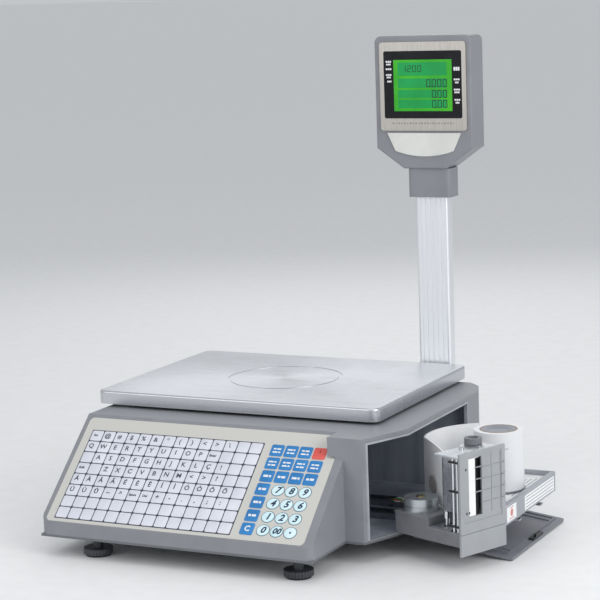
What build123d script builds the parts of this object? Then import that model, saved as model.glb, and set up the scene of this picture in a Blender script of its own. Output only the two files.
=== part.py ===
"""Label printing scale: weighing platter, keypad, pole display and a label printer on a drawer.

The scale stands on the XY plane, with its operator at -Y and its printer bay at +X. The origin is the centre
of its footprint, with the printer drawer pulled out and the bay door folded down, as it stands here.
"""

import os
from math import asin, atan2, cos, degrees, sin, sqrt, tan

from build123d import *

os.makedirs("parts", exist_ok=True)

# Weighing platter, mm
pan_width = 388.0
pan_depth = 290.0
pan_top = 169.0
pan_skirt = 16.4
pan_sheet = 1.2
pan_corner = 12.0

# Body, measured from the platter's centre
body_left = -179.0
body_right = 182.0
body_front = -308.0
body_back = 128.0
body_bottom = 24.0
body_top = 149.0
lip_top = 43.0
slope_top = -189.0
housing_wall = 3.0
base_sheet = 3.0

# Printer bay: a bulge on the right with one angled corner, where the label comes out
bay_near = (206.0, -218.0)
bay_far = (234.0, -150.0)
bay_back = 79.0
bay_corner = (222.5, 111.0)
bay_rear = 205.0
bay_opening_front = -213.0
bay_opening_back = 40.0
bay_opening_bottom = 28.5
bay_opening_top = 143.5
bay_left = 88.0
liner_sheet = 1.5
bead_height = 1.5
bead_lip = 2.0

# Door of the printer bay, folded down on the table
hinge_height = 21.5
hinge_pin_r = 2.0
knuckle_r = 3.4
door_front = -146.0
door_back = 36.0
door_reach = 124.0
door_sheet = 4.0
door_rim = 1.5

# Printer drawer
drawer_travel = 115.0
bezel_width = 74.0
bezel_bottom = 21.0
bezel_top = 140.0
bezel_sheet = 3.0
bezel_seam = 46.0
slot_left = 26.0
slot_width = 10.0
slot_bottom = 65.0
slot_top = 133.0
strip_width = 12.0
panel_margin = 6.0
panel_bottom = 59.0
panel_top = 136.0
panel_depth = 0.7
groove_pitch = 13.6
groove_width = 0.9
groove_depth = 0.6
gearbox_floor = 29.0
gearbox_low_top = 45.0
gearbox_high_top = 55.0
gearbox_wall = 2.0
gear_module = 1.0
gear_width = 5.0
platen_teeth = 20
idler_teeth = 30
pinion_teeth = 12
platen_r = 7.0
printer_top = 133.0
plate_sheet = 2.0
motor_r = 20.0
motor_height = 16.0
roll_r = 30.0
roll_height = 71.0
core_r = 23.0
core_wall = 2.0
roll_place = (310.0, -50.0)
roll_bottom = 62.0
tray_bottom = 41.5
tray_rim = 65.0
tray_right = 353.0
tray_left = 276.0
tray_front = -145.0
tray_back = 31.0

# Display pole and head, across from the platter's centre
pole_place = 146.5
pole_width = 45.0
pole_depth = 19.0
pole_y = 159.5
pole_wall = 2.0
head_left = 75.7
head_right = 209.4
head_top = 597.0
head_shoulder = 452.0
head_chin = 425.5
head_front = 140.0
head_depth = 45.0
head_wall = 2.5
lamp_top = 472.0
lamp_shoulder = 448.5
lamp_bottom = 441.5
neck_bottom = 388.0
neck_width = 58.8

# Feet
foot_places = {"front_left": (-116.0, -282.0), "front_right": (153.0, -284.0),
               "rear_left": (-116.0, 95.0), "rear_right": (153.0, 95.0)}
knob_r = 17.5
knob_height = 9.5
stud_r = 6.0
stud_top = 44.0
pad_height = 2.5
boss_r = 13.0
boss_height = 14.0

# Main board, on posts on the base pan
board_place = (-95.0, -70.0)
board_size = (130.0, 170.0)
board_lift = 8.0

# Fits
running = 0.05
clear = 0.3
gap = 0.5

# Sockets in the rear wall: across from the platter's centre and height
inlet_place = (-85.0, 60.0)
inlet_flange = (50.0, 23.0)
switch_place = (-140.0, 60.0)
switch_flange = (22.0, 16.0)
port_place = (10.0, 60.0)
port_sizes = {-24.0: (16.0, 13.0), 0.0: (12.0, 11.0), 24.0: (20.0, 10.0)}
port_wall = 1.5

# Keypad, on the slope
key_sheet = 0.8
keypad_size = (344.0, 153.0)
keypad_centre = (-1.0, -81.5)

slope_angle = atan2(body_top - lip_top, slope_top - body_front)
bay_angle = atan2(bay_far[0] - bay_near[0], bay_far[1] - bay_near[1])
bezel_corner = (bay_near[0] + 121.0, bay_near[1] - 0.7)
hinge_x = bay_far[0] + knuckle_r + 0.6
door_fall = asin((hinge_height - door_sheet - 0.6) / door_reach)
door_end = hinge_x + door_reach * cos(door_fall)
head_back = head_front + head_depth
head_mid = (head_left + head_right) / 2

# The platter's centre, from the centre of the whole footprint
pan_x = -(door_end - pan_width / 2) / 2
pan_y = -(head_back + body_front) / 2
deck = Plane((pan_x, pan_y, 0))
side = Plane(origin=(pan_x, pan_y, 0), x_dir=(0, 1, 0), z_dir=(1, 0, 0))
front = Plane(origin=(pan_x, pan_y, 0), x_dir=(1, 0, 0), z_dir=(0, -1, 0))
slope = Plane(origin=(pan_x, pan_y + slope_top, body_top), x_dir=(1, 0, 0),
              z_dir=(0, -sin(slope_angle), cos(slope_angle)))
# The printer's own plane: X along the bezel from its near corner, Y inwards from the bezel's face
printer = Plane(origin=(pan_x + bezel_corner[0], pan_y + bezel_corner[1], 0),
                x_dir=(sin(bay_angle), cos(bay_angle), 0), z_dir=(0, 0, 1))
door_plane = Plane(origin=(pan_x + hinge_x, pan_y, hinge_height),
                   x_dir=(cos(door_fall), 0, -sin(door_fall)), z_dir=(sin(door_fall), 0, cos(door_fall)))

on_base = (Align.CENTER, Align.CENTER, Align.MIN)
from_left = (Align.MIN, Align.CENTER)
from_corner = (Align.MIN, Align.MIN)
from_corner_up = (Align.MIN, Align.MIN, Align.MIN)


def slope_height(y):
    """Height of the keypad slope's outer face at a depth y."""
    return lip_top + (y - body_front) * tan(slope_angle)


def bay_outline(inset=0.0):
    """Plan of the printer bay's bulge, drawn inside a BuildSketch."""
    Polygon((body_right - 20, bay_near[1] + inset), (bay_near[0] - 0.8 * inset, bay_near[1] + inset),
            (bay_far[0] - inset, bay_far[1] + 0.2 * inset), (bay_far[0] - inset, bay_back - 0.4 * inset),
            (bay_corner[0] - 0.8 * inset, bay_corner[1] - 0.5 * inset), (bay_rear - 0.4 * inset, body_back - inset),
            (body_right - 20, body_back - inset), align=None)


def side_outline(inset=0.0, base=body_bottom + base_sheet):
    """Profile of the main body seen from its right, drawn inside a BuildSketch."""
    drop = inset / cos(slope_angle)
    Polygon((body_front + inset, base), (body_front + inset, slope_height(body_front + inset) - drop),
            (slope_top + inset * tan(slope_angle / 2), body_top - inset), (body_back - inset, body_top - inset),
            (body_back - inset, base), align=None)


def opening_outline(grow=0.0):
    """Plan of the printer bay's opening through the angled face and the side, drawn inside a BuildSketch."""
    Polygon((bay_near[0] - 12, bay_opening_front - grow), (bay_far[0] + 12, bay_opening_front - grow),
            (bay_far[0] + 12, bay_opening_back + grow), (bay_far[0] - 12, bay_opening_back + grow),
            (bay_far[0] - 12, bay_far[1] - 4), (bay_near[0] - 12, bay_opening_front + 20), align=None)


def gear_outline(teeth, first_tooth):
    """A spur gear's plan, drawn inside a BuildSketch: thin straight-sided teeth that run free in mesh."""
    pitch_r = teeth * gear_module / 2
    Circle(pitch_r - gear_module)
    with PolarLocations(pitch_r - 0.3 * gear_module, teeth, start_angle=first_tooth):
        Trapezoid(1.6 * gear_module, 2.0 * gear_module, 75, rotation=-90)


# ---------------------------------------------------------------- Body

with BuildPart(deck) as base_pan:
    with BuildSketch(side.offset(body_left)):
        with BuildLine():
            Polyline((body_front, body_bottom), (body_front, body_bottom + base_sheet),
                     (body_back, body_bottom + base_sheet), (body_back, body_bottom), close=True)
        make_face()
    extrude(amount=body_right - body_left)
    with BuildSketch(deck.offset(body_bottom)):
        bay_outline()
    extrude(amount=base_sheet)
    with Locations(*[(x, y, body_bottom) for x, y in foot_places.values()]):
        Cylinder(boss_r, boss_height, align=on_base)
        Cylinder(stud_r + running, 4 * boss_height, mode=Mode.SUBTRACT)
    with Locations((*board_place, body_bottom + base_sheet)):
        with GridLocations(board_size[0] - 12, board_size[1] - 12, 2, 2):
            Cylinder(3.0, board_lift, align=on_base)
base_pan.part.label = "base_pan"
export_step(base_pan.part, "parts/base_pan.step")

with BuildPart(deck) as upper_housing:
    with BuildSketch(side.offset(body_left)):
        side_outline()
    extrude(amount=body_right - body_left)
    fillet(upper_housing.edges().filter_by(Axis.Z).group_by(Axis.X)[0], 9.0)
    fillet(upper_housing.edges().filter_by(Axis.Z).group_by(Axis.Y)[0], 9.0)
    with BuildSketch(deck.offset(body_bottom + base_sheet)):
        bay_outline()
    extrude(amount=body_top - body_bottom - base_sheet)
    with BuildSketch(side.offset(body_left + housing_wall)):
        side_outline(housing_wall)
    extrude(amount=body_right - body_left - 2 * housing_wall, mode=Mode.SUBTRACT)
    with BuildSketch(deck.offset(body_bottom + base_sheet)):
        bay_outline(housing_wall)
    extrude(amount=body_top - body_bottom - base_sheet - housing_wall, mode=Mode.SUBTRACT)
    with BuildSketch(deck.offset(bay_opening_bottom)):
        opening_outline()
    extrude(amount=bay_opening_top - bay_opening_bottom, mode=Mode.SUBTRACT)
    # pocket for the keypad overlay, post hole under the platter, level bubble hole
    with BuildSketch(slope.offset(-key_sheet)):
        with Locations(keypad_centre):
            RectangleRounded(keypad_size[0] + clear, keypad_size[1] + clear, 6.0)
    extrude(amount=4 * key_sheet, mode=Mode.SUBTRACT)
    with Locations((0, 60, body_top - housing_wall), (-120, -120, body_top - housing_wall)):
        Cylinder(16.0, 4 * housing_wall, mode=Mode.SUBTRACT)
    # rear openings: inlet, switch and port panel
    with BuildSketch(front.offset(-body_back - housing_wall)):
        with Locations(inlet_place):
            Rectangle(28.2, 20.6)
        with Locations(switch_place):
            Rectangle(19.6, 13.4)
        with Locations(port_place):
            Rectangle(90, 30)
    extrude(amount=3 * housing_wall, mode=Mode.SUBTRACT)
upper_housing.part.label = "upper_housing"
export_step(upper_housing.part, "parts/upper_housing.step")

# The raised bead round the bay's opening, a moulded frame pushed into the housing
with BuildPart(deck) as opening_frame:
    with BuildSketch(deck.offset(bay_opening_bottom)):
        opening_outline()
    extrude(amount=bay_opening_top - bay_opening_bottom)
    with BuildSketch(deck.offset(bay_opening_bottom)):
        with BuildLine():
            Polyline((bay_near[0] + 1.2, bay_near[1] - 0.6), (bay_far[0] + bead_height, bay_far[1]),
                     (bay_far[0] + bead_height, bay_back), (bay_far[0] - housing_wall, bay_back),
                     (bay_far[0] - housing_wall, bay_far[1] + 0.6), (bay_near[0] - 2.0, bay_near[1] + 1.2),
                     close=True)
        make_face()
    extrude(amount=bay_opening_top - bay_opening_bottom, mode=Mode.INTERSECT)
    with Locations((bay_far[0] - 30, (bay_opening_front + bay_opening_back) / 2, bay_opening_bottom)):
        Box(120, bay_opening_back - bay_opening_front - 4, bay_opening_top - bay_opening_bottom - bead_lip,
            align=on_base, mode=Mode.SUBTRACT)
opening_frame.part.label = "opening_frame"
export_step(opening_frame.part, "parts/opening_frame.step")

# Sheet liner that walls the printer bay off from the electronics
liner_bottom = body_bottom + base_sheet
liner_top = body_top - housing_wall - gap
liner_front = bay_near[1] + housing_wall + gap
liner_back = bay_opening_back + 16.0
bay_wall = body_right - 3.0


def liner_profile(inset):
    """Side profile of the bay liner under the keypad slope, drawn inside a BuildSketch."""
    drop = (housing_wall + gap + inset) / cos(slope_angle)
    low = liner_front + inset
    knee = slope_top + (housing_wall + gap + inset) * tan(slope_angle / 2)
    Polygon((low, liner_bottom + inset), (low, slope_height(low) - drop), (knee, liner_top - inset),
            (liner_back - inset, liner_top - inset), (liner_back - inset, liner_bottom + inset), align=None)


def liner_plan(inset):
    """Plan of the bay liner inside the bulge, drawn inside a BuildSketch."""
    wall = housing_wall + gap + inset
    Polygon((bay_wall, liner_front + inset), (bay_near[0] - wall, liner_front + inset),
            (bay_far[0] - wall, bay_far[1] + 0.2 * wall), (bay_far[0] - wall, liner_back - inset),
            (bay_wall, liner_back - inset), align=None)


with BuildPart(deck) as bay_liner:
    with BuildSketch(side.offset(bay_left - liner_sheet)):
        liner_profile(0.0)
    extrude(amount=bay_wall - bay_left + liner_sheet)
    with BuildSketch(deck.offset(liner_bottom)):
        liner_plan(0.0)
    extrude(amount=liner_top - liner_bottom)
    with BuildSketch(side.offset(bay_left)):
        liner_profile(liner_sheet)
    extrude(amount=bay_wall - bay_left, mode=Mode.SUBTRACT)
    with BuildSketch(deck.offset(liner_bottom + liner_sheet)):
        liner_plan(liner_sheet)
    extrude(amount=liner_top - liner_bottom - 2 * liner_sheet, mode=Mode.SUBTRACT)
    # the mouth: open all along the angled face and the side
    with BuildSketch(deck.offset(bay_opening_bottom)):
        opening_outline(gap)
    extrude(amount=bay_opening_top - bay_opening_bottom, mode=Mode.SUBTRACT)
bay_liner.part.label = "bay_liner"
export_step(bay_liner.part, "parts/bay_liner.step")

with BuildPart() as keypad_overlay:
    with BuildSketch(slope.offset(-key_sheet)):
        with Locations(keypad_centre):
            RectangleRounded(*keypad_size, 6.0)
    extrude(amount=key_sheet)
keypad_overlay.part.label = "keypad_overlay"
export_step(keypad_overlay.part, "parts/keypad_overlay.step")

with BuildPart(deck) as level_bubble:
    with Locations((-120, -120, body_top - housing_wall)):
        Cylinder(16.0 - clear, housing_wall, align=on_base)
        Cylinder(9.0, housing_wall - 1.0, align=on_base, mode=Mode.SUBTRACT)
level_bubble.part.label = "level_bubble"
export_step(level_bubble.part, "parts/level_bubble.step")

# ---------------------------------------------------------------- Electronics in the body

pan_floor = body_bottom + base_sheet

with BuildPart(deck) as circuit_boards:
    with Locations((*board_place, pan_floor + board_lift)):
        Box(*board_size, 1.6, align=on_base)
    with Locations((board_place[0] - 15, board_place[1] - 20, pan_floor + board_lift + 1.6),
                   (board_place[0] + 25, board_place[1] + 40, pan_floor + board_lift + 1.6)):
        Box(28, 28, 3, align=on_base)
    with Locations((board_place[0] - 45, board_place[1] + 50, pan_floor + board_lift + 1.6)):
        Box(12, 60, 9, align=on_base)
    # the display's own board, behind its window
    with BuildSketch(front.offset(-head_front - 5)):
        with Locations((head_mid, 530)):
            Rectangle(104, 80)
            with GridLocations(96, 72, 2, 2):
                Circle(1.6, mode=Mode.SUBTRACT)
    extrude(amount=-1.6)
circuit_boards.part.label = "circuit_boards"
export_step(circuit_boards.part, "parts/circuit_boards.step")

with BuildPart(deck) as power_supply:
    with Locations((-110, 48, pan_floor)):
        Box(100, 54, 34, align=on_base)
    fillet(power_supply.edges().filter_by(Axis.Z), 2.0)
power_supply.part.label = "power_supply"
export_step(power_supply.part, "parts/power_supply.step")

link_start = switch_place[0] + switch_flange[0] / 2 - 1.0
with BuildPart() as power_inlet:
    with BuildSketch(front.offset(-body_back)):
        with Locations(inlet_place):
            Rectangle(28, 20.4)
    extrude(amount=22)
    with BuildSketch(front.offset(-body_back)):
        with Locations(inlet_place):
            Rectangle(*inlet_flange)
            with GridLocations(40, 0, 2, 1):
                Circle(1.7, mode=Mode.SUBTRACT)
    extrude(amount=-2.5)
    with BuildSketch(front.offset(-body_back - 2.5)):
        with Locations(inlet_place):
            RectangleRounded(24, 16, 3.0)
    extrude(amount=17, mode=Mode.SUBTRACT)
    with BuildSketch(front.offset(-body_back + 15)):
        with Locations((inlet_place[0] - 7, 58), (inlet_place[0] + 7, 58), (inlet_place[0], 62)):
            Rectangle(2, 4)
    extrude(amount=-6)
    # the switch's well, in the same moulding
    with BuildSketch(front.offset(-body_back)):
        with Locations(switch_place):
            Rectangle(19.4, 13.2)
    extrude(amount=14)
    with BuildSketch(front.offset(-body_back)):
        with Locations(switch_place):
            Rectangle(*switch_flange)
        with Locations((link_start, inlet_place[1])):
            Rectangle(inlet_place[0] - inlet_flange[0] / 2 + 1.0 - link_start, 10, align=from_left)
    extrude(amount=-1.5)
    with BuildSketch(front.offset(-body_back - 1.5)):
        with Locations(switch_place):
            Rectangle(17, 10.8)
    extrude(amount=12, mode=Mode.SUBTRACT)
power_inlet.part.label = "power_inlet"
export_step(power_inlet.part, "parts/power_inlet.step")

# The rocker turns on a pin 5 mm inside the rear wall; its face is two flats that meet over the pin
with BuildPart() as power_rocker:
    with BuildSketch(front.offset(-body_back)):
        with Locations(switch_place):
            Rectangle(15.4, 10.0)
    extrude(amount=5)
    with BuildSketch(front.offset(-body_back)):
        with Locations(switch_place):
            Rectangle(15.4, 10.0)
    extrude(amount=-3.4, taper=10)
    with BuildSketch(front.offset(-body_back + 5)):
        with Locations(switch_place):
            Rectangle(10, 10)
    extrude(amount=2)
    # stub pins above and below, that it turns on
    with Locations((pan_x + switch_place[0], pan_y + body_back - 5, switch_place[1])):
        Cylinder(1.5, 10.6)
power_rocker.part.label = "power_rocker"
export_step(power_rocker.part, "parts/power_rocker.step")

with BuildPart() as port_panel:
    with BuildSketch(front.offset(-body_back)):
        with Locations(port_place):
            Rectangle(100, 38)
            for across, (wide, tall) in port_sizes.items():
                with Locations((across, 0)):
                    Rectangle(wide, tall, mode=Mode.SUBTRACT)
    extrude(amount=-1.2)
    for across, (wide, tall) in port_sizes.items():
        with BuildSketch(front.offset(-body_back - 1.2)):
            with Locations((port_place[0] + across, port_place[1])):
                Rectangle(wide - gap + 0.1, tall - gap + 0.1)
        extrude(amount=14)
        with BuildSketch(front.offset(-body_back - 1.2)):
            with Locations((port_place[0] + across, port_place[1])):
                Rectangle(wide - 2 * port_wall - 0.4, tall - 2 * port_wall - 0.4)
        extrude(amount=10, mode=Mode.SUBTRACT)
port_panel.part.label = "port_panel"
export_step(port_panel.part, "parts/port_panel.step")

# ---------------------------------------------------------------- Weighing: load cell, spider and platter

cell_bottom = pan_floor + 12.0
cell_height = 22.0
cell_top = cell_bottom + cell_height
spider_bottom = body_top + 3.0
spider_top = spider_bottom + 10.0
bumper_top = pan_top - pan_sheet

with BuildPart(deck) as load_cell:
    with Locations((0, 0, cell_bottom)):
        Box(40, 150, cell_height, align=on_base)
    # the sensing waist: two bores joined by a slot
    with BuildSketch(side.offset(-20)):
        with Locations((0, cell_bottom + cell_height / 2)):
            SlotCenterToCenter(40, 14)
    extrude(amount=40, mode=Mode.SUBTRACT)
load_cell.part.label = "load_cell"
export_step(load_cell.part, "parts/load_cell.step")

with BuildPart(deck) as cell_spacers:
    with Locations((0, -55, pan_floor)):
        Box(36, 34, cell_bottom - pan_floor, align=on_base)
    with Locations((0, 60, cell_top)):
        Cylinder(13.0, spider_bottom - cell_top, align=on_base)
cell_spacers.part.label = "cell_spacers"
export_step(cell_spacers.part, "parts/cell_spacers.step")

# Cast cross that carries the platter on four bumpers
arm_x = pan_width / 2 - 45
arm_y = pan_depth / 2 - 35
with BuildPart(deck) as platter_spider:
    with BuildSketch(deck.offset(spider_bottom)):
        with Locations((0, 30)):
            Rectangle(60, 150)
        for turn in (degrees(atan2(arm_y, arm_x)), -degrees(atan2(arm_y, arm_x))):
            SlotOverall(2 * sqrt(arm_x ** 2 + arm_y ** 2) + 24, 24, rotation=turn)
    extrude(amount=spider_top - spider_bottom)
    with BuildSketch(deck.offset(spider_bottom)):
        with Locations((0, 0)):
            SlotOverall(50, 22, mode=Mode.ADD)
    extrude(amount=spider_top - spider_bottom - 4, mode=Mode.SUBTRACT)
platter_spider.part.label = "platter_spider"
export_step(platter_spider.part, "parts/platter_spider.step")

with BuildPart(deck) as platter_bumpers:
    with Locations((0, 0, spider_top)):
        with GridLocations(2 * arm_x, 2 * arm_y, 2, 2):
            Cone(9.0, 7.0, bumper_top - spider_top, align=on_base)
platter_bumpers.part.label = "platter_bumpers"
export_step(platter_bumpers.part, "parts/platter_bumpers.step")

with BuildPart(deck) as platter:
    with Locations((0, 0, pan_top - pan_skirt)):
        Box(pan_width, pan_depth, pan_skirt, align=on_base)
    fillet(platter.edges().filter_by(Axis.Z), pan_corner)
    fillet(platter.edges().group_by(Axis.Z)[-1], 3.0)
    with BuildSketch(deck.offset(pan_top - pan_skirt)):
        RectangleRounded(pan_width - 2 * pan_sheet, pan_depth - 2 * pan_sheet, pan_corner - pan_sheet)
    extrude(amount=pan_skirt - pan_sheet, mode=Mode.SUBTRACT)
    # embossed ring round the middle, pressed 0.5 mm down
    with BuildSketch(deck.offset(pan_top)):
        Circle(74.0)
        Circle(70.0, mode=Mode.SUBTRACT)
    extrude(amount=-0.5, mode=Mode.SUBTRACT)
platter.part.label = "platter"
export_step(platter.part, "parts/platter.step")

# ---------------------------------------------------------------- Feet

for corner, (foot_x, foot_y) in foot_places.items():
    with BuildPart(deck) as foot_pad:
        with Locations((foot_x, foot_y, 0)):
            Cylinder(knob_r - 2.5, pad_height, align=on_base)
            with Locations((0, 0, pad_height)):
                Cylinder(4.0, 2.0, align=on_base)
    foot_pad.part.label = "foot_pad_" + corner
    export_step(foot_pad.part, "parts/foot_pad_" + corner + ".step")
    with BuildPart(deck) as foot_screw:
        with Locations((foot_x, foot_y, pad_height)):
            Cylinder(knob_r, knob_height - pad_height, align=on_base)
            Cylinder(4.0 + running, 2.0 + gap, align=on_base, mode=Mode.SUBTRACT)
            with PolarLocations(knob_r, 28):
                Cylinder(0.9, 40.0, mode=Mode.SUBTRACT)
        with Locations((foot_x, foot_y, knob_height)):
            Cylinder(stud_r, stud_top - knob_height, align=on_base)
        chamfer(foot_screw.faces().sort_by(Axis.Z)[-1].edges(), 1.0)
    foot_screw.part.label = "foot_screw_" + corner
    export_step(foot_screw.part, "parts/foot_screw_" + corner + ".step")

# ---------------------------------------------------------------- Door of the printer bay

door_length = door_back - door_front
fixed_knuckles = [door_front + 22, (door_front + door_back) / 2, door_back - 22]
knuckle_length = 20.0

with BuildPart() as door_panel:
    with BuildSketch(door_plane.offset(-door_sheet)):
        with Locations((knuckle_r + 1.5, door_front)):
            Rectangle(door_reach - knuckle_r - 1.5, door_length, align=from_corner)
    extrude(amount=door_sheet)
    # a raised rim inside the panel with two stiffening ribs across it
    with BuildSketch(door_plane):
        with Locations((14, door_front + 8)):
            Rectangle(door_reach - 22, door_length - 16, align=from_corner)
        with Locations((16.5, door_front + 10.5)):
            Rectangle(door_reach - 27, door_length - 21, align=from_corner, mode=Mode.SUBTRACT)
        for along in fixed_knuckles[:1] + fixed_knuckles[2:]:
            with Locations((14, along)):
                Rectangle(door_reach - 22, 2.5, align=from_left)
    extrude(amount=door_rim)
    # hinge barrels between the fixed knuckles, joined to the panel's edge
    with BuildSketch(Plane(origin=door_plane.from_local_coords((0, door_front, 0)), x_dir=door_plane.x_dir,
                           z_dir=(0, -1, 0))):
        Circle(knuckle_r)
        with Locations((0, -door_sheet / 2)):
            Rectangle(knuckle_r + 2.0, door_sheet, align=from_left)
    extrude(amount=-door_length)
    with BuildSketch(Plane(origin=door_plane.from_local_coords((0, door_front - 1, 0)), x_dir=door_plane.x_dir,
                           z_dir=(0, -1, 0))):
        Circle(hinge_pin_r + running)
    extrude(amount=-door_length - 2, mode=Mode.SUBTRACT)
    for along in fixed_knuckles:
        with BuildSketch(door_plane.offset(-8)):
            with Locations((0, along)):
                Rectangle(2 * knuckle_r + 2.4, knuckle_length + 2 * gap)
        extrude(amount=16, mode=Mode.SUBTRACT)
door_panel.part.label = "door_panel"
export_step(door_panel.part, "parts/door_panel.step")

with BuildPart() as door_hinge_pin:
    with BuildSketch(front.offset(-door_front)):
        with Locations((hinge_x, hinge_height)):
            Circle(hinge_pin_r)
    extrude(amount=-door_length)
door_hinge_pin.part.label = "door_hinge_pin"
export_step(door_hinge_pin.part, "parts/door_hinge_pin.step")

# Fixed knuckles, each on a leaf screwed up under the base pan
with BuildPart(deck) as hinge_knuckles:
    for along in fixed_knuckles:
        with BuildSketch(front.offset(-along - knuckle_length / 2)):
            with Locations((hinge_x, hinge_height)):
                Circle(knuckle_r)
            with Locations((hinge_x - 30, body_bottom - 1.0)):
                Rectangle(30, 2.0, align=from_left)
        extrude(amount=knuckle_length)
        with BuildSketch(front.offset(-along - knuckle_length / 2 - 1)):
            with Locations((hinge_x, hinge_height)):
                Circle(hinge_pin_r + running)
        extrude(amount=knuckle_length + 2, mode=Mode.SUBTRACT)
hinge_knuckles.part.label = "hinge_knuckles"
export_step(hinge_knuckles.part, "parts/hinge_knuckles.step")

# Snap catch at the door's free edge
with BuildPart() as door_latch:
    with BuildSketch(door_plane):
        with Locations((door_reach - 7.5, (door_front + door_back) / 2)):
            Rectangle(6.5, 34, align=from_left)
    extrude(amount=2.5)
    with BuildSketch(door_plane.offset(2.5)):
        with Locations((door_reach - 4.0, (door_front + door_back) / 2)):
            Rectangle(3.0, 18, align=from_left)
    extrude(amount=3.5)
door_latch.part.label = "door_latch"
export_step(door_latch.part, "parts/door_latch.step")

# ---------------------------------------------------------------- Telescopic slides of the drawer

rail_floor = liner_bottom + liner_sheet
rail_places = (-108.0, -52.0)
closed_left = 92.0
rail_length = 128.0
rail_sheet = 1.5
outer_width = 24.0
middle_width = outer_width - 2 * rail_sheet - 2 * clear
inner_width = middle_width - 2 * rail_sheet - 2 * clear
drawer_floor = 40.0

with BuildPart(deck) as slide_outer:
    for along in rail_places:
        with BuildSketch(side.offset(closed_left)):
            with Locations((along - outer_width / 2, rail_floor)):
                Rectangle(outer_width, 7.0, align=from_corner)
                with Locations((rail_sheet, rail_sheet)):
                    Rectangle(outer_width - 2 * rail_sheet, 7.0, align=from_corner, mode=Mode.SUBTRACT)
        extrude(amount=rail_length)
slide_outer.part.label = "slide_outer"
export_step(slide_outer.part, "parts/slide_outer.step")

middle_floor = rail_floor + rail_sheet + clear
with BuildPart(deck) as slide_middle:
    for along in rail_places:
        with BuildSketch(side.offset(closed_left + drawer_travel / 2)):
            with Locations((along - middle_width / 2, middle_floor)):
                Rectangle(middle_width, 6.0, align=from_corner)
                with Locations((rail_sheet, rail_sheet)):
                    Rectangle(middle_width - 2 * rail_sheet, 6.0, align=from_corner, mode=Mode.SUBTRACT)
        extrude(amount=rail_length)
slide_middle.part.label = "slide_middle"
export_step(slide_middle.part, "parts/slide_middle.step")

inner_floor = middle_floor + rail_sheet + clear
inner_length = 100.0

# ---------------------------------------------------------------- Printer drawer: base, gearbox and drive

gear_floor = gearbox_floor + gearbox_wall + 1.5
platen_at = (30.0, 18.0)
idler_b_at = (30.0, platen_at[1] + gear_module * (platen_teeth + idler_teeth) / 2)
idler_a_at = (30.0, idler_b_at[1] + gear_module * idler_teeth)
motor_at = (30.0, idler_a_at[1] + gear_module * (idler_teeth + pinion_teeth) / 2)
gearbox_left = 7.6
gearbox_right = 54.0
gearbox_front = bezel_sheet + clear
gearbox_step = 62.0
gearbox_back = motor_at[1] + motor_r + 2.0
post_r = 2.5

with BuildPart(printer) as gearbox_housing:
    with BuildSketch(printer.offset(gearbox_floor)):
        with Locations((gearbox_left, gearbox_front)):
            Rectangle(gearbox_right - gearbox_left, gearbox_back - gearbox_front, align=from_corner)
    extrude(amount=gearbox_low_top - gearbox_wall - gearbox_floor)
    with BuildSketch(printer.offset(gearbox_low_top - gearbox_wall)):
        with Locations((gearbox_left, gearbox_step)):
            Rectangle(gearbox_right - gearbox_left, gearbox_back - gearbox_step, align=from_corner)
    extrude(amount=gearbox_high_top - gearbox_low_top)
    fillet(gearbox_housing.edges().filter_by(Axis.Z).group_by(SortBy.LENGTH)[-1], 2.0)
    with BuildSketch(printer.offset(gearbox_floor + gearbox_wall)):
        with Locations((gearbox_left + gearbox_wall, gearbox_front + gearbox_wall)):
            Rectangle(gearbox_right - gearbox_left - 2 * gearbox_wall,
                      gearbox_back - gearbox_front - 2 * gearbox_wall, align=from_corner)
    extrude(amount=gearbox_high_top - gearbox_floor, mode=Mode.SUBTRACT)
    # pins that the idlers turn on, and the platen's lower bearing
    for pin_x, pin_y in (idler_a_at, idler_b_at):
        with Locations((pin_x, pin_y, gearbox_floor)):
            Cylinder(post_r, gear_floor + gear_width - gearbox_floor + 1.0, align=on_base)
    with Locations((*platen_at, gearbox_floor)):
        Cylinder(5.0, gearbox_wall + 0.8, align=on_base)
        Cylinder(post_r + running, 12.0, mode=Mode.SUBTRACT)
    # ears for the drawer base
    with BuildSketch(printer.offset(tray_bottom)):
        for ear_y in (70.0, 104.0):
            with Locations((gearbox_right, ear_y)):
                Rectangle(12.0, 12.0, align=from_left)
    extrude(amount=3.0)
gearbox_housing.part.label = "gearbox_housing"
export_step(gearbox_housing.part, "parts/gearbox_housing.step")

with BuildPart(printer) as gearbox_cover:
    with BuildSketch(printer.offset(gearbox_low_top - gearbox_wall)):
        with Locations((gearbox_left, gearbox_front)):
            Rectangle(gearbox_right - gearbox_left, gearbox_step - gearbox_front, align=from_corner)
        with Locations(platen_at):
            Circle(5.0, mode=Mode.SUBTRACT)
    extrude(amount=gearbox_wall)
    with BuildSketch(printer.offset(gearbox_high_top - gearbox_wall)):
        with Locations((gearbox_left, gearbox_step)):
            Rectangle(gearbox_right - gearbox_left, gearbox_back - gearbox_step, align=from_corner)
        with Locations(motor_at):
            Circle(5.0, mode=Mode.SUBTRACT)
    extrude(amount=gearbox_wall)
    with BuildSketch(printer.offset(gearbox_low_top)):
        with Locations((gearbox_left, gearbox_step - gearbox_wall)):
            Rectangle(gearbox_right - gearbox_left, gearbox_wall, align=from_corner)
    extrude(amount=gearbox_high_top - gearbox_low_top)
gearbox_cover.part.label = "gearbox_cover"
export_step(gearbox_cover.part, "parts/gearbox_cover.step")

with BuildPart(printer) as stepper_motor:
    with Locations((*motor_at, gearbox_high_top)):
        Cylinder(motor_r, motor_height, align=on_base)
        Box(50, 8, 1.2, align=on_base)
        Cylinder(post_r + running, 2 * motor_height - 6, mode=Mode.SUBTRACT)
stepper_motor.part.label = "stepper_motor"
export_step(stepper_motor.part, "parts/stepper_motor.step")

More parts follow.
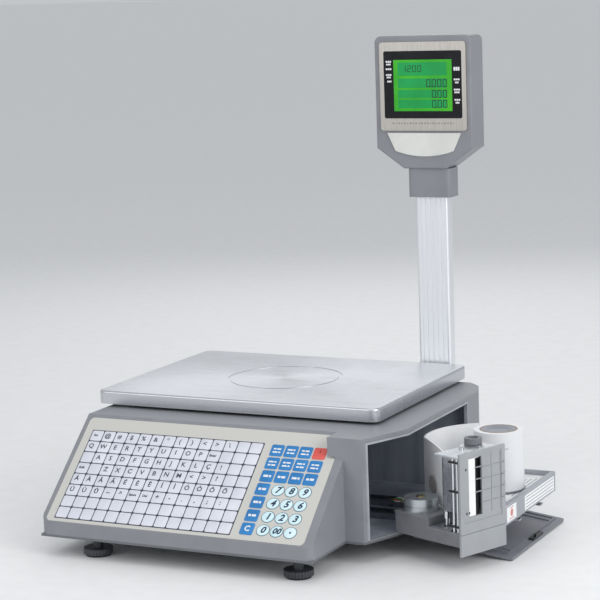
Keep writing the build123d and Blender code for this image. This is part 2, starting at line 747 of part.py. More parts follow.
with BuildPart(printer) as motor_pinion:
    with BuildSketch(printer.offset(gear_floor)):
        with Locations(motor_at):
            gear_outline(pinion_teeth, -90 + 180 / pinion_teeth)
    extrude(amount=gear_width)
    with Locations((*motor_at, gear_floor)):
        Cylinder(post_r, gearbox_high_top + 8 - gear_floor, align=on_base)
motor_pinion.part.label = "motor_pinion"
export_step(motor_pinion.part, "parts/motor_pinion.step")

for name, place, first in (("idler_gear_a", idler_a_at, 90.0),
                           ("idler_gear_b", idler_b_at, 90 + 180 / idler_teeth)):
    with BuildPart(printer) as idler_gear:
        with BuildSketch(printer.offset(gear_floor)):
            with Locations(place):
                gear_outline(idler_teeth, first)
                Circle(post_r + running, mode=Mode.SUBTRACT)
        extrude(amount=gear_width)
    idler_gear.part.label = name
    export_step(idler_gear.part, "parts/" + name + ".step")

frame_floor = gearbox_low_top
head_bottom = slot_bottom + 1.0
head_height = printer_top - plate_sheet - gap - head_bottom

with BuildPart(printer) as platen_roller:
    with BuildSketch(printer.offset(gear_floor)):
        with Locations(platen_at):
            gear_outline(platen_teeth, 90)
    extrude(amount=gear_width)
    with Locations((*platen_at, gearbox_floor + 0.5)):
        Cylinder(post_r, printer_top - gearbox_floor + 1.0, align=on_base)
    with Locations((*platen_at, head_bottom - 1)):
        Cylinder(platen_r, head_height + 1, align=on_base)
platen_roller.part.label = "platen_roller"
export_step(platen_roller.part, "parts/platen_roller.step")

# ---------------------------------------------------------------- Printer frame, print head and web path

rod_places = ((20.0, 42.0), (29.0, 46.0), (11.0, 15.0), (11.0, 21.5))
rod_r = 2.0
guide_at = (74.0, 50.0)
knob_ring_r = 10.5
knob_ring_height = 7.0
frame_web = 40.0
top_screws = ((44.0, 20.0), (44.0, 40.0), (66.0, 30.0))

with BuildPart(printer) as printer_frame:
    with BuildSketch(printer.offset(frame_floor)):
        with Locations((gearbox_left + 1, gearbox_front + 1)):
            Rectangle(gearbox_right - gearbox_left - 2, 52, align=from_corner)
        with Locations(platen_at, *rod_places):
            Circle(4.0, mode=Mode.SUBTRACT)
    extrude(amount=plate_sheet)
    with BuildSketch(printer.offset(frame_floor + plate_sheet)):
        with Locations((frame_web, gearbox_front + 1)):
            Rectangle(plate_sheet, 46, align=from_corner)
    extrude(amount=printer_top - plate_sheet - frame_floor - plate_sheet)
    with BuildSketch(printer.offset(printer_top - 2 * plate_sheet)):
        with Locations((frame_web, gearbox_front + 1)):
            Rectangle(12, 46, align=from_corner)
    extrude(amount=plate_sheet)
    # upright that ties the bezel to the top plate beside the roll
    with BuildSketch(printer.offset(tray_bottom + gap)):
        with Locations((bezel_width - 8, bezel_sheet)):
            Rectangle(2.0, 14, align=from_corner)
        with Locations((bezel_width - 16, bezel_sheet)):
            Rectangle(10, 1.5, align=from_corner)
    extrude(amount=printer_top - plate_sheet - tray_bottom - gap)
    # peel bar just inside the slot's left edge
    with BuildSketch(printer.offset(slot_bottom - 6)):
        with Locations((slot_left - 2.2, bezel_sheet)):
            Rectangle(1.8, 5.0, align=from_corner)
    extrude(amount=printer_top - plate_sheet - slot_bottom + 6)
printer_frame.part.label = "printer_frame"
export_step(printer_frame.part, "parts/printer_frame.step")

with BuildPart(printer) as top_plate:
    with BuildSketch(printer.offset(printer_top - plate_sheet)):
        with BuildLine():
            Polyline((gearbox_left + 1, bezel_sheet + gap), (84, bezel_sheet + gap), (84, 58), (62, 58),
                     (50, 49), (gearbox_left + 1, 49), close=True)
        make_face()
        with Locations(platen_at):
            Circle(post_r + running, mode=Mode.SUBTRACT)
        with Locations(*rod_places):
            Circle(rod_r, mode=Mode.SUBTRACT)
        with Locations(guide_at):
            Circle(2.0 + running, mode=Mode.SUBTRACT)
    extrude(amount=plate_sheet)
top_plate.part.label = "top_plate"
export_step(top_plate.part, "parts/top_plate.step")

# The head's pivot rod and three tie rods, the torsion spring on the pivot rod, and the top plate's screws
with BuildPart(printer) as head_hardware:
    with Locations(*[(x, y, gearbox_low_top) for x, y in rod_places]):
        Cylinder(rod_r, printer_top - gearbox_low_top, align=on_base)
    with Locations((*rod_places[0], head_bottom - 10)):
        Cylinder(rod_r + 1.6, 8.0, align=on_base)
        Cylinder(rod_r + 0.4, 8.0, align=on_base, mode=Mode.SUBTRACT)
        Cylinder(rod_r, 8.0, align=on_base)
    with Locations(*[(x, y, printer_top) for x, y in top_screws]):
        Cylinder(3.0, 2.0, align=on_base)
        with Locations((0, 0, 1.4)):
            Box(4.2, 0.9, 1.2, align=on_base, mode=Mode.SUBTRACT)
            Box(0.9, 4.2, 1.2, align=on_base, mode=Mode.SUBTRACT)
head_hardware.part.label = "head_hardware"
export_step(head_hardware.part, "parts/head_hardware.step")

# The carrier swings on the first rod and holds the thermal head against the platen
carrier_x = platen_at[0] - platen_r - clear
with BuildPart(printer) as head_carrier:
    with BuildSketch(printer.offset(head_bottom)):
        with Locations((carrier_x - 7, 11)):
            Rectangle(3.0, 24, align=from_corner)
        with Locations((carrier_x - 7, 33)):
            Rectangle(5.0, 9.5, align=from_corner)
        with Locations(rod_places[0]):
            Circle(rod_r + 2.2)
            Circle(rod_r + running, mode=Mode.SUBTRACT)
    extrude(amount=head_height)
head_carrier.part.label = "head_carrier"
export_step(head_carrier.part, "parts/head_carrier.step")

with BuildPart(printer) as print_head:
    with BuildSketch(printer.offset(head_bottom + 1)):
        with Locations((carrier_x - 4, 12)):
            Rectangle(2.6, 18, align=from_corner)
        with Locations((carrier_x - 1.4, platen_at[1] - 4)):
            Rectangle(1.2, 8, align=from_corner)
    extrude(amount=head_height - 2)
print_head.part.label = "print_head"
export_step(print_head.part, "parts/print_head.step")

# Roller that turns the label web towards the head, with a grey ring knob on its shaft
with BuildPart(printer) as guide_roller:
    with Locations((*guide_at, drawer_floor)):
        Cylinder(2.0, printer_top + 4 - drawer_floor, align=on_base)
    with Locations((*guide_at, 56)):
        Cylinder(6.0, printer_top - plate_sheet - gap - 56, align=on_base)
    with Locations((*guide_at, printer_top + clear)):
        Cylinder(knob_ring_r, knob_ring_height, align=on_base)
    with Locations((*guide_at, printer_top + clear + 2.5)):
        Cylinder(knob_ring_r - 4.0, knob_ring_height, align=on_base, mode=Mode.SUBTRACT)
guide_roller.part.label = "guide_roller"
export_step(guide_roller.part, "parts/guide_roller.step")

# ---------------------------------------------------------------- Bezel with the label slot

with BuildPart(printer) as bezel_plate:
    with BuildSketch(printer.offset(bezel_seam + gap)):
        Rectangle(bezel_width, bezel_sheet, align=from_corner)
    extrude(amount=bezel_top - bezel_seam - gap)
    with BuildSketch(printer.offset(slot_bottom)):
        with Locations((slot_left, -1)):
            Rectangle(slot_width, bezel_sheet + 2, align=from_corner)
    extrude(amount=slot_top - slot_bottom, mode=Mode.SUBTRACT)
    # shallow panel sunk round the slot, with a deeper recess for the blank label strip beside it
    with BuildSketch(printer.offset(panel_bottom)):
        with Locations((panel_margin, -1)):
            Rectangle(bezel_width - 2 * panel_margin, 1.0 + panel_depth, align=from_corner)
    extrude(amount=panel_top - panel_bottom, mode=Mode.SUBTRACT)
    with BuildSketch(printer.offset(slot_bottom)):
        with Locations((slot_left - strip_width, -1)):
            Rectangle(strip_width, 2.0 + panel_depth, align=from_corner)
    extrude(amount=slot_top - slot_bottom, mode=Mode.SUBTRACT)
    # grooves that square off the plain side
    for step in range(1, 5):
        with BuildSketch(printer.offset(slot_bottom + step * groove_pitch)):
            with Locations((slot_left + slot_width, -1)):
                Rectangle(bezel_width - slot_left - slot_width + 1, 1.0 + panel_depth + groove_depth,
                          align=from_corner)
        extrude(amount=groove_width, mode=Mode.SUBTRACT)
    with BuildSketch(printer.offset(slot_bottom)):
        for across in (51.0, 66.0):
            with Locations((across, -1)):
                Rectangle(groove_width, 1.0 + panel_depth + groove_depth, align=from_corner)
    extrude(amount=slot_top - slot_bottom, mode=Mode.SUBTRACT)
bezel_plate.part.label = "bezel_plate"
export_step(bezel_plate.part, "parts/bezel_plate.step")

with BuildPart(printer) as bezel_lower:
    with BuildSketch(printer.offset(bezel_bottom)):
        Rectangle(bezel_width, bezel_sheet, align=from_corner)
    extrude(amount=bezel_seam - bezel_bottom)
bezel_lower.part.label = "bezel_lower"
export_step(bezel_lower.part, "parts/bezel_lower.step")

# ---------------------------------------------------------------- Drawer base, roll tray and label roll

# Steel plate with the two inner rails and two hooks under it
with BuildPart(deck) as drawer_base:
    with BuildSketch(deck.offset(drawer_floor)):
        with BuildLine():
            Polyline((209, -110.5), (322, -156.8), (347, -144), (347, 27), (209, 27), close=True)
        make_face()
    extrude(amount=tray_bottom - drawer_floor)
    for along in rail_places:
        with Locations((closed_left + drawer_travel + 2, along - inner_width / 2, inner_floor)):
            Box(inner_length, inner_width, drawer_floor - inner_floor, align=from_corner_up)
    for along in (-95.0, -20.0):
        with Locations((tray_right - 9, along, drawer_floor - 6)):
            Box(3, 8, 6, align=from_corner_up)
            Box(7, 8, 2, align=from_corner_up)
    with BuildSketch(printer.offset(drawer_floor - 1)):
        with Locations(guide_at):
            Circle(2.0 + running)
    extrude(amount=4, mode=Mode.SUBTRACT)
drawer_base.part.label = "drawer_base"
export_step(drawer_base.part, "parts/drawer_base.step")

with BuildPart(deck) as roll_tray:
    with Locations((tray_left, tray_front, tray_bottom)):
        Box(tray_right - tray_left, tray_back - tray_front, tray_rim - tray_bottom, align=from_corner_up)
    fillet(roll_tray.edges().filter_by(Axis.Z).group_by(Axis.X)[-1], 3.0)
    with Locations((tray_left + 2.5, tray_front + 2.5, tray_bottom + 2.5)):
        Box(tray_right - tray_left - 5, tray_back - tray_front - 5, tray_rim, align=from_corner_up,
            mode=Mode.SUBTRACT)
    # a turned-in lip runs along the outer wall
    with Locations((tray_right - 6, tray_front + 3, tray_rim - 2.5)):
        Box(6, tray_back - tray_front - 6, 2.5, align=from_corner_up)
    # notch for the guide post and the front left corner over the gearbox
    with BuildSketch(deck.offset(tray_bottom - 1)):
        with BuildLine():
            Polyline((tray_left - 2, tray_front - 2), (331, tray_front - 2), (302, -106), (tray_left - 2, -106),
                     close=True)
        make_face()
    extrude(amount=60, mode=Mode.SUBTRACT)
roll_tray.part.label = "roll_tray"
export_step(roll_tray.part, "parts/roll_tray.step")

hub_r = core_r - core_wall - clear
with BuildPart(deck) as roll_hub:
    with Locations((*roll_place, tray_bottom + 2.5)):
        Cylinder(14.0, roll_bottom - 2.5 - tray_bottom - 2.5, align=on_base)
    with Locations((*roll_place, roll_bottom - 2.5)):
        Cylinder(roll_r + 1.0, 2.2, align=on_base)
        Cylinder(hub_r, roll_height - 5.0, align=on_base)
    with Locations((*roll_place, roll_bottom)):
        Cylinder(hub_r - 2.5, roll_height, align=on_base, mode=Mode.SUBTRACT)
roll_hub.part.label = "roll_hub"
export_step(roll_hub.part, "parts/roll_hub.step")

# Wound labels on a card core
with BuildPart(deck) as label_roll:
    with Locations((*roll_place, roll_bottom)):
        Cylinder(roll_r, roll_height, align=on_base)
        Cylinder(core_r - core_wall, 3 * roll_height, mode=Mode.SUBTRACT)
label_roll.part.label = "label_roll"
export_step(label_roll.part, "parts/label_roll.step")

# Curved wall that leads the label web from the roll round to the print head
guide_bottom = gearbox_high_top + 2.0
guide_top = 126.0
with BuildPart(deck) as paper_guide:
    with BuildSketch(deck.offset(guide_bottom)):
        with BuildLine():
            ThreePointArc((284, -158), (262, -128), (230, -90))
            ThreePointArc((230, -90), (231, -36), (266, 2))
        trace(line_width=1.6)
    extrude(amount=guide_top - guide_bottom)
    with BuildSketch(deck.offset(tray_bottom)):
        with BuildLine():
            ThreePointArc((230, -80), (231.5, -36), (266, 2))
        trace(line_width=1.6)
    extrude(amount=guide_bottom - tray_bottom + 5)
paper_guide.part.label = "paper_guide"
export_step(paper_guide.part, "parts/paper_guide.step")

# Four insulated leads from the motor to a plug on the drawer base
with BuildPart(deck) as motor_leads:
    for number in range(4):
        shift = 1.2 * number
        with BuildLine(deck) as lead:
            FilletPolyline((232 - shift, -146 - shift, 60), (222 - shift, -140 - shift, 60),
                           (217 - shift, -128 - shift, 55), (217 - shift, -112 - shift, 47),
                           (217 - shift, -103, 44.5), radius=3.0)
        with BuildSketch(Plane(lead.line @ 0, z_dir=lead.line % 0)):
            Circle(0.55)
        sweep(path=lead.line)
    with Locations((210.5, -103.5, tray_bottom)):
        Box(9, 16, 5.5, align=from_corner_up)
motor_leads.part.label = "motor_leads"
export_step(motor_leads.part, "parts/motor_leads.step")

# ---------------------------------------------------------------- Pole and display head

pole_plane = Plane((pan_x + pole_place, pan_y + pole_y, 0))
socket_wall = 8.0
socket_top = 104.0
pole_bottom = 42.0
pole_top = head_chin - 6.0
pole_back = pole_depth / 2 + pole_y


def pole_outline(grow=0.0):
    """Plan of the pole extrusion, drawn inside a BuildSketch."""
    RectangleRounded(pole_width + 2 * grow, pole_depth + 2 * grow, 4.0 + grow)


# Cast socket bolted to the back of the body; the pole stands in it
with BuildPart() as pole_bracket:
    with BuildSketch(Plane((pan_x + pole_place, pan_y + body_back, pole_bottom - 6))):
        Rectangle(pole_width + 2 * socket_wall, pole_back + socket_wall - body_back,
                  align=(Align.CENTER, Align.MIN))
    extrude(amount=socket_top - pole_bottom + 6)
    fillet(pole_bracket.edges().filter_by(Axis.Z).group_by(Axis.Y)[-1], 5.0)
    with BuildSketch(pole_plane.offset(pole_bottom)):
        pole_outline(running)
    extrude(amount=socket_top, mode=Mode.SUBTRACT)
pole_bracket.part.label = "pole_bracket"
export_step(pole_bracket.part, "parts/pole_bracket.step")

with BuildPart() as pole:
    with BuildSketch(pole_plane.offset(pole_bottom)):
        pole_outline()
        RectangleRounded(pole_width - 2 * pole_wall - 2, pole_depth - 2 * pole_wall - 2, 2.0,
                         mode=Mode.SUBTRACT)
        for face in (-1, 1):
            with Locations((0, face * pole_depth / 2)):
                with GridLocations(7.0, 0, 5, 1):
                    Rectangle(3.0, 2.0, mode=Mode.SUBTRACT)
    extrude(amount=pole_top - pole_bottom)
pole.part.label = "pole"
export_step(pole.part, "parts/pole.step")


def head_outline(inset=0.0):
    """Front outline of the display head, drawn inside a BuildSketch."""
    chin = neck_width / 2 - 0.4 * inset
    Polygon((head_left + inset, head_top - inset), (head_right - inset, head_top - inset),
            (head_right - inset, head_shoulder + 0.5 * inset), (head_mid + chin, head_chin + inset),
            (head_mid - chin, head_chin + inset), (head_left + inset, head_shoulder + 0.5 * inset), align=None)


with BuildPart() as display_front:
    with BuildSketch(front.offset(-head_front)):
        head_outline()
    extrude(amount=-18)
    fillet(display_front.edges().filter_by(Axis.Y).group_by(Axis.Z)[-1], 9.0)
    fillet(display_front.faces().sort_by(Axis.Y)[0].edges(), 2.0)
    with BuildSketch(front.offset(-head_front - head_wall)):
        head_outline(head_wall)
    extrude(amount=-18, mode=Mode.SUBTRACT)
    # window opening and the lower lamp panel's opening
    with BuildSketch(front.offset(-head_front + 5)):
        with Locations((head_mid + 0.9, 534)):
            Rectangle(108, 86.5)
    extrude(amount=-18, mode=Mode.SUBTRACT)
display_front.part.label = "display_front"
export_step(display_front.part, "parts/display_front.step")

with BuildPart() as display_back:
    with BuildSketch(front.offset(-head_front - 18)):
        head_outline()
    extrude(amount=-(head_depth - 18))
    fillet(display_back.edges().filter_by(Axis.Y).group_by(Axis.Z)[-1], 9.0)
    fillet(display_back.faces().sort_by(Axis.Y)[-1].edges(), 4.0)
    with BuildSketch(front.offset(-head_front - 18)):
        head_outline(head_wall)
    extrude(amount=-(head_depth - 18 - head_wall), mode=Mode.SUBTRACT)
    # the neck below it, bored for the pole
    with BuildSketch(pole_plane.offset(neck_bottom)):
        RectangleRounded(neck_width, 32.0, 5.0)
    extrude(amount=head_chin - neck_bottom)
    with BuildSketch(pole_plane.offset(neck_bottom)):
        pole_outline(running)
    extrude(amount=pole_top + gap - neck_bottom, mode=Mode.SUBTRACT)
display_back.part.label = "display_back"
export_step(display_back.part, "parts/display_back.step")

bezel_mid = (head_mid + 0.9, 532.0)
with BuildPart() as display_bezel:
    with BuildSketch(front.offset(-head_front)):
        with Locations(bezel_mid):
            RectangleRounded(120, 114, 4.0)
        with Locations((head_mid + 0.9, 534.2)):
            RectangleRounded(108 + clear, 86.5 + clear, 2.5, mode=Mode.SUBTRACT)
    extrude(amount=2.5)
display_bezel.part.label = "display_bezel"
export_step(display_bezel.part, "parts/display_bezel.step")

with BuildPart() as display_window:
    with BuildSketch(front.offset(-head_front - 1.0)):
        with Locations((head_mid + 0.9, 534)):
            RectangleRounded(108 - clear, 86.5 - clear, 2.5)
    extrude(amount=2.5)
display_window.part.label = "display_window"
export_step(display_window.part, "parts/display_window.step")

with BuildPart() as lcd_panel:
    with BuildSketch(front.offset(-head_front - 1.0)):
        with Locations((head_mid, 533)):
            Rectangle(82, 68)
    extrude(amount=-2.0)
lcd_panel.part.label = "lcd_panel"
export_step(lcd_panel.part, "parts/lcd_panel.step")

# Status lamp cover under the window, with sloping sides and a round bottom
with BuildPart() as display_lamp:
    with BuildSketch(front.offset(-head_front)):
        with BuildLine():
            Polyline((head_mid - 40, lamp_shoulder), (head_mid - 51, lamp_top), (head_mid + 52, lamp_top),
                     (head_mid + 41, lamp_shoulder))
            ThreePointArc((head_mid + 41, lamp_shoulder), (head_mid + 0.5, lamp_bottom),
                          (head_mid - 40, lamp_shoulder))
        make_face()
    extrude(amount=2.0)
    fillet(display_lamp.faces().sort_by(Axis.Y)[0].edges(), 0.8)
display_lamp.part.label = "display_lamp"
export_step(display_lamp.part, "parts/display_lamp.step")

# Screws and bolts of the body: under the base pan, behind the display, in the pole socket and on the load cell
with BuildPart(deck) as body_screws:
    with Locations((-165, -250, body_bottom - 2), (165, -200, body_bottom - 2), (-165, 110, body_bottom - 2),
                   (110, 110, body_bottom - 2), (0, -290, body_bottom - 2), (-165, -60, body_bottom - 2)):
        Cylinder(4.0, 2.0, align=on_base)
        Box(5.4, 1.1, 1.0, align=on_base, mode=Mode.SUBTRACT)
        Box(1.1, 5.4, 1.0, align=on_base, mode=Mode.SUBTRACT)
    with BuildSketch(front.offset(-head_back)):
        with Locations((head_left + 16, head_top - 18), (head_right - 16, head_top - 18),
                       (head_left + 16, head_shoulder + 14), (head_right - 16, head_shoulder + 14)):
            Circle(3.5)
            Rectangle(4.4, 1.0, mode=Mode.SUBTRACT)
            Rectangle(1.0, 4.4, mode=Mode.SUBTRACT)
    extrude(amount=-1.8)
    with BuildSketch(front.offset(-pole_back - socket_wall)):
        with Locations((pole_place - 14, socket_top - 14), (pole_place + 14, socket_top - 14)):
            Circle(5.0)
            RegularPolygon(2.6, 6, mode=Mode.SUBTRACT)
    extrude(amount=-3.0)
    with Locations((-11, -60, cell_top), (11, -60, cell_top)):
        Cylinder(5.0, 6.0, align=on_base)
        with Locations((0, 0, 3)):
            Cylinder(2.4, 4.0, align=on_base, mode=Mode.SUBTRACT)
body_screws.part.label = "body_screws"
export_step(body_screws.part, "parts/body_screws.step")
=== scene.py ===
"""Label printing scale, dressed on its CAD frame: weighing platter, film keypad, pole display and a label
printer on a drawer. Lengths are metres; the numbers in millimetres are multiplied by mm."""

import math

import bmesh
import bpy
from mathutils import Matrix, Vector


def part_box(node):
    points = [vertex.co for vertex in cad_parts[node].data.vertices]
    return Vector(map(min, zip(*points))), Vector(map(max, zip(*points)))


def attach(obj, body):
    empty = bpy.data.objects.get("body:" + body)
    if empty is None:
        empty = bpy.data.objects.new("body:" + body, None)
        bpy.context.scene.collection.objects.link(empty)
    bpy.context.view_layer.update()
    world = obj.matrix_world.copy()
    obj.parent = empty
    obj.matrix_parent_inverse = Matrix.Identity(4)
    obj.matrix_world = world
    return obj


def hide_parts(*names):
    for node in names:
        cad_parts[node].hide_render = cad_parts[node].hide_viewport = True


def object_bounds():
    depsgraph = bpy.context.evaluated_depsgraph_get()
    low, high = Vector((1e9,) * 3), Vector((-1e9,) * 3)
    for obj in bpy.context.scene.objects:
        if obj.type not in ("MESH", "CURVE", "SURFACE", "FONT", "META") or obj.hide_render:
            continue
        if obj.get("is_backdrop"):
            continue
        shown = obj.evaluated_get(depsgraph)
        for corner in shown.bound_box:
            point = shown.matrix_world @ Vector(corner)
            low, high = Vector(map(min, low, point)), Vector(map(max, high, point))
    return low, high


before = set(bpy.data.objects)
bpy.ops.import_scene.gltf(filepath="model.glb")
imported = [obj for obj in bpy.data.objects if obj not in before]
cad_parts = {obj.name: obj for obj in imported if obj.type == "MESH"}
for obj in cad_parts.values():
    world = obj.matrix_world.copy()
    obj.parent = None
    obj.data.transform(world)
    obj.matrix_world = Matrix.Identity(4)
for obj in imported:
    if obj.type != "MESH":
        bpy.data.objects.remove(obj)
cad_low, cad_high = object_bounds()
scene = bpy.context.scene
mm = 0.001

# ---------------------------------------------------------------- Base pan and feet
# Pressed steel pan, powder-coated grey, that closes the body from below. Four threaded feet screw into its
# bosses: a moulded nylon knob round a stud, on a black rubber pad.


def linear(code):
    """An sRGB hex colour as linear red, green, blue and alpha."""
    parts = [int(code[i:i + 2], 16) / 255 for i in (0, 2, 4)]
    return [c / 12.92 if c <= 0.04045 else ((c + 0.055) / 1.055) ** 2.4 for c in parts] + [1.0]


def add(tree, kind, sockets=(), **settings):
    """Adds a node with its settings, and sets or links its inputs."""
    node = tree.nodes.new("ShaderNode" + kind)
    for name, value in settings.items():
        setattr(node, name, value)
    for name, value in dict(sockets).items():
        if isinstance(value, bpy.types.NodeSocket):
            tree.links.new(value, node.inputs[name])
        else:
            node.inputs[name].default_value = value
    return node


def new_finish(name, roughness, metallic=0.0, ior=1.5):
    """A material with its shader, and the coordinates on the piece that its patterns read."""
    material = bpy.data.materials.new(name)
    material.use_nodes = True
    tree = material.node_tree
    shader = tree.nodes["Principled BSDF"]
    shader.inputs["Roughness"].default_value = roughness
    shader.inputs["Metallic"].default_value = metallic
    if not metallic:
        shader.inputs["IOR"].default_value = ior
    return material, tree, shader, add(tree, "TexCoord").outputs["Object"]


def shade(tree, shader, pattern, dark, light, low=0.35, high=0.65):
    """Colours the shader from dark to light with a pattern."""
    ramp = add(tree, "ValToRGB", {"Fac": pattern})
    ramp.color_ramp.elements[0].position = low
    ramp.color_ramp.elements[1].position = high
    ramp.color_ramp.elements[0].color = linear(dark)
    ramp.color_ramp.elements[1].color = linear(light)
    tree.links.new(ramp.outputs["Color"], shader.inputs["Base Color"])
    return ramp


def raise_skin(tree, shader, height, depth, strength=0.5):
    """Gives the shader's surface a relief, depth in metres."""
    bump = add(tree, "Bump", {"Height": height, "Distance": depth, "Strength": strength})
    tree.links.new(bump.outputs["Normal"], shader.inputs["Normal"])


def vary_gloss(tree, shader, pattern, low, high):
    """Roughness that wanders between two values with a pattern."""
    spread = add(tree, "MapRange", {"Value": pattern, "From Min": 0.3, "From Max": 0.7, "To Min": low,
                                    "To Max": high})
    tree.links.new(spread.outputs["Result"], shader.inputs["Roughness"])


def powder_coat(name, dark, light, roughness=0.45):
    """Baked polyester powder on steel: a fine orange peel of about 1.2 mm and a slow drift of tone."""
    material, tree, shader, at = new_finish(name, roughness, ior=1.5)
    drift = add(tree, "TexNoise", {"Vector": at, "Scale": 1 / (45 * mm), "Detail": 3.0})
    shade(tree, shader, drift.outputs["Fac"], dark, light)
    peel = add(tree, "TexNoise", {"Vector": at, "Scale": 1 / (1.2 * mm), "Detail": 2.0})
    raise_skin(tree, shader, peel.outputs["Fac"], 0.05 * mm, 0.35)
    vary_gloss(tree, shader, drift.outputs["Fac"], roughness - 0.06, roughness + 0.08)
    return material


def moulded_nylon(name, dark, light, roughness=0.5, grain=0.7):
    """Injection-moulded plastic from a spark-eroded tool: a matt grain, drawn here at about 0.7 mm, that
    breaks the highlight, and faint flow marks some centimetres wide."""
    material, tree, shader, at = new_finish(name, roughness, ior=1.52)
    flow = add(tree, "TexNoise", {"Vector": at, "Scale": 1 / (38 * mm), "Detail": 4.0, "Distortion": 0.6})
    shade(tree, shader, flow.outputs["Fac"], dark, light)
    grain_noise = add(tree, "TexNoise", {"Vector": at, "Scale": 1 / (grain * mm), "Detail": 3.0})
    raise_skin(tree, shader, grain_noise.outputs["Fac"], 0.06 * mm, 0.4)
    vary_gloss(tree, shader, flow.outputs["Fac"], roughness - 0.05, roughness + 0.07)
    return material


def moulded_rubber(name):
    """Black moulded rubber: nearly matt, with dusty grey specks about 2 mm apart."""
    material, tree, shader, at = new_finish(name, 0.8, ior=1.52)
    dust = add(tree, "TexNoise", {"Vector": at, "Scale": 1 / (2 * mm), "Detail": 5.0})
    shade(tree, shader, dust.outputs["Fac"], "1B1B1D", "2B2B2E", 0.4, 0.75)
    raise_skin(tree, shader, dust.outputs["Fac"], 0.1 * mm, 0.5)
    return material


def paint(material, *nodes):
    """Gives CAD nodes this finish."""
    for node in nodes:
        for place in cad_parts[node].material_slots:
            place.material = material


paint(powder_coat("powder_coated_pan", "686B70", "707378"), "base_pan")
corners = ("front_left", "front_right", "rear_left", "rear_right")
foot_nylon = moulded_nylon("moulded_foot_nylon", "303237", "44474D", 0.42, 0.9)
foot_rubber = moulded_rubber("moulded_foot_rubber")
for corner in corners:
    paint(foot_nylon, "foot_screw_" + corner)
    paint(foot_rubber, "foot_pad_" + corner)

# ---------------------------------------------------------------- Body moulding and printer bay
# The upper housing is one grey ABS moulding with a lighter frame pushed into the bay's mouth. A painted
# steel liner walls the bay off from the electronics.

paint(moulded_nylon("textured_grey_abs", "87898E", "8D8F94", 0.46), "upper_housing")
paint(moulded_nylon("light_grey_abs", "A3A6AB", "B2B5BA", 0.42), "opening_frame")


def painted_liner(name):
    """Blue-grey paint on folded steel, with vertical smears where the drawer's cable has rubbed it."""
    material, tree, shader, at = new_finish(name, 0.4, ior=1.5)
    stretched = add(tree, "Mapping", {"Vector": at, "Scale": (60.0, 60.0, 6.0)})
    smear = add(tree, "TexNoise", {"Vector": stretched.outputs["Vector"], "Scale": 1.0, "Detail": 5.0})
    shade(tree, shader, smear.outputs["Fac"], "9095A1", "ABB0BC")
    vary_gloss(tree, shader, smear.outputs["Fac"], 0.3, 0.5)
    raise_skin(tree, shader, smear.outputs["Fac"], 0.15 * mm, 0.3)
    return material


paint(painted_liner("painted_bay_steel"), "bay_liner")

# ---------------------------------------------------------------- Boards, supply and sockets
# Glass-fibre circuit boards, an encased power supply, and the mains inlet, rocker switch and sockets in the
# rear wall. The boards are green under solder mask, with plated lands.


def solder_mask(name):
    """Green solder mask over copper: glossy, with the tracks showing as lighter lines 2.5 mm apart."""
    material, tree, shader, at = new_finish(name, 0.25, ior=1.55)
    tracks = add(tree, "TexBrick", {"Vector": at, "Scale": 1.0, "Brick Width": 9 * mm, "Row Height": 2.5 * mm,
                                    "Mortar Size": 0.3 * mm, "Color1": linear("155C33"),
                                    "Color2": linear("1A6B3C"), "Mortar": linear("2E8A55")})
    tree.links.new(tracks.outputs["Color"], shader.inputs["Base Color"])
    raise_skin(tree, shader, tracks.outputs["Fac"], 0.05 * mm, 0.4)
    return material


def rolled_metal(name, dark, light, roughness=0.3, along="X", line=0.35, wander=14.0):
    """Bare or plated metal with the fine lines of rolling, brushing or turning, running along one axis of
    the object; line is their spacing in millimetres."""
    material, tree, shader, at = new_finish(name, roughness, metallic=1.0)
    scale = {axis: 1 / (line * mm) for axis in "XYZ"}
    scale[along] = 1 / (line * 60 * mm)
    stretched = add(tree, "Mapping", {"Vector": at, "Scale": tuple(scale[axis] for axis in "XYZ")})
    lines = add(tree, "TexNoise", {"Vector": stretched.outputs["Vector"], "Scale": 1.0, "Detail": 4.0})
    patches = add(tree, "TexNoise", {"Vector": at, "Scale": 1 / (wander * mm), "Detail": 3.0})
    both = add(tree, "Mix", {"Factor": 0.35, "A": lines.outputs["Fac"], "B": patches.outputs["Fac"]})
    shade(tree, shader, both.outputs["Result"], dark, light, 0.3, 0.7)
    vary_gloss(tree, shader, both.outputs["Result"], roughness - 0.08, roughness + 0.12)
    raise_skin(tree, shader, lines.outputs["Fac"], 0.02 * mm, 0.4)
    return material


mask_green = solder_mask("green_solder_mask")
# black moulded nylon for the inlet, rocker, latch, clips and LCD panel; the same black is also used as
# painted shade in the label slot and in the bezel's catch holes
black_nylon_and_shade = moulded_nylon("black_nylon_and_painted_shade", "1A1B1D", "26272A", 0.4)
zinc_plate = rolled_metal("zinc_plated_steel", "A6A9AE", "B9BDC2", 0.32, "X", 0.5)
paint(mask_green, "circuit_boards")
paint(rolled_metal("folded_supply_case", "A0A3A7", "C2C5C9", 0.35, "Y", 0.5), "power_supply")
paint(black_nylon_and_shade, "power_inlet", "power_rocker")
paint(rolled_metal("port_plate_steel", "8E9196", "B4B7BC", 0.36, "X", 0.6), "port_panel")


def slab(wide, deep, tall, corner=0.0, edge=0.0, rounds=3):
    """A plate on the XY plane, centred, with rounded corners in plan and a soft edge round its top."""
    bm = bmesh.new()
    bmesh.ops.create_cube(bm, size=1.0, matrix=Matrix.Translation((0, 0, tall / 2)) @ Matrix.Diagonal(
        (wide, deep, tall, 1.0)))
    if corner:
        upright = [e for e in bm.edges if abs(e.verts[0].co.z - e.verts[1].co.z) > tall / 2]
        bmesh.ops.bevel(bm, geom=upright, offset=corner, segments=rounds, affect="EDGES", profile=0.5,
                        material=-1)
    if edge:
        rim = [e for e in bm.edges if min(v.co.z for v in e.verts) > tall * 0.99]
        bmesh.ops.bevel(bm, geom=rim, offset=edge, segments=2, affect="EDGES", profile=0.5, material=-1)
    return bm


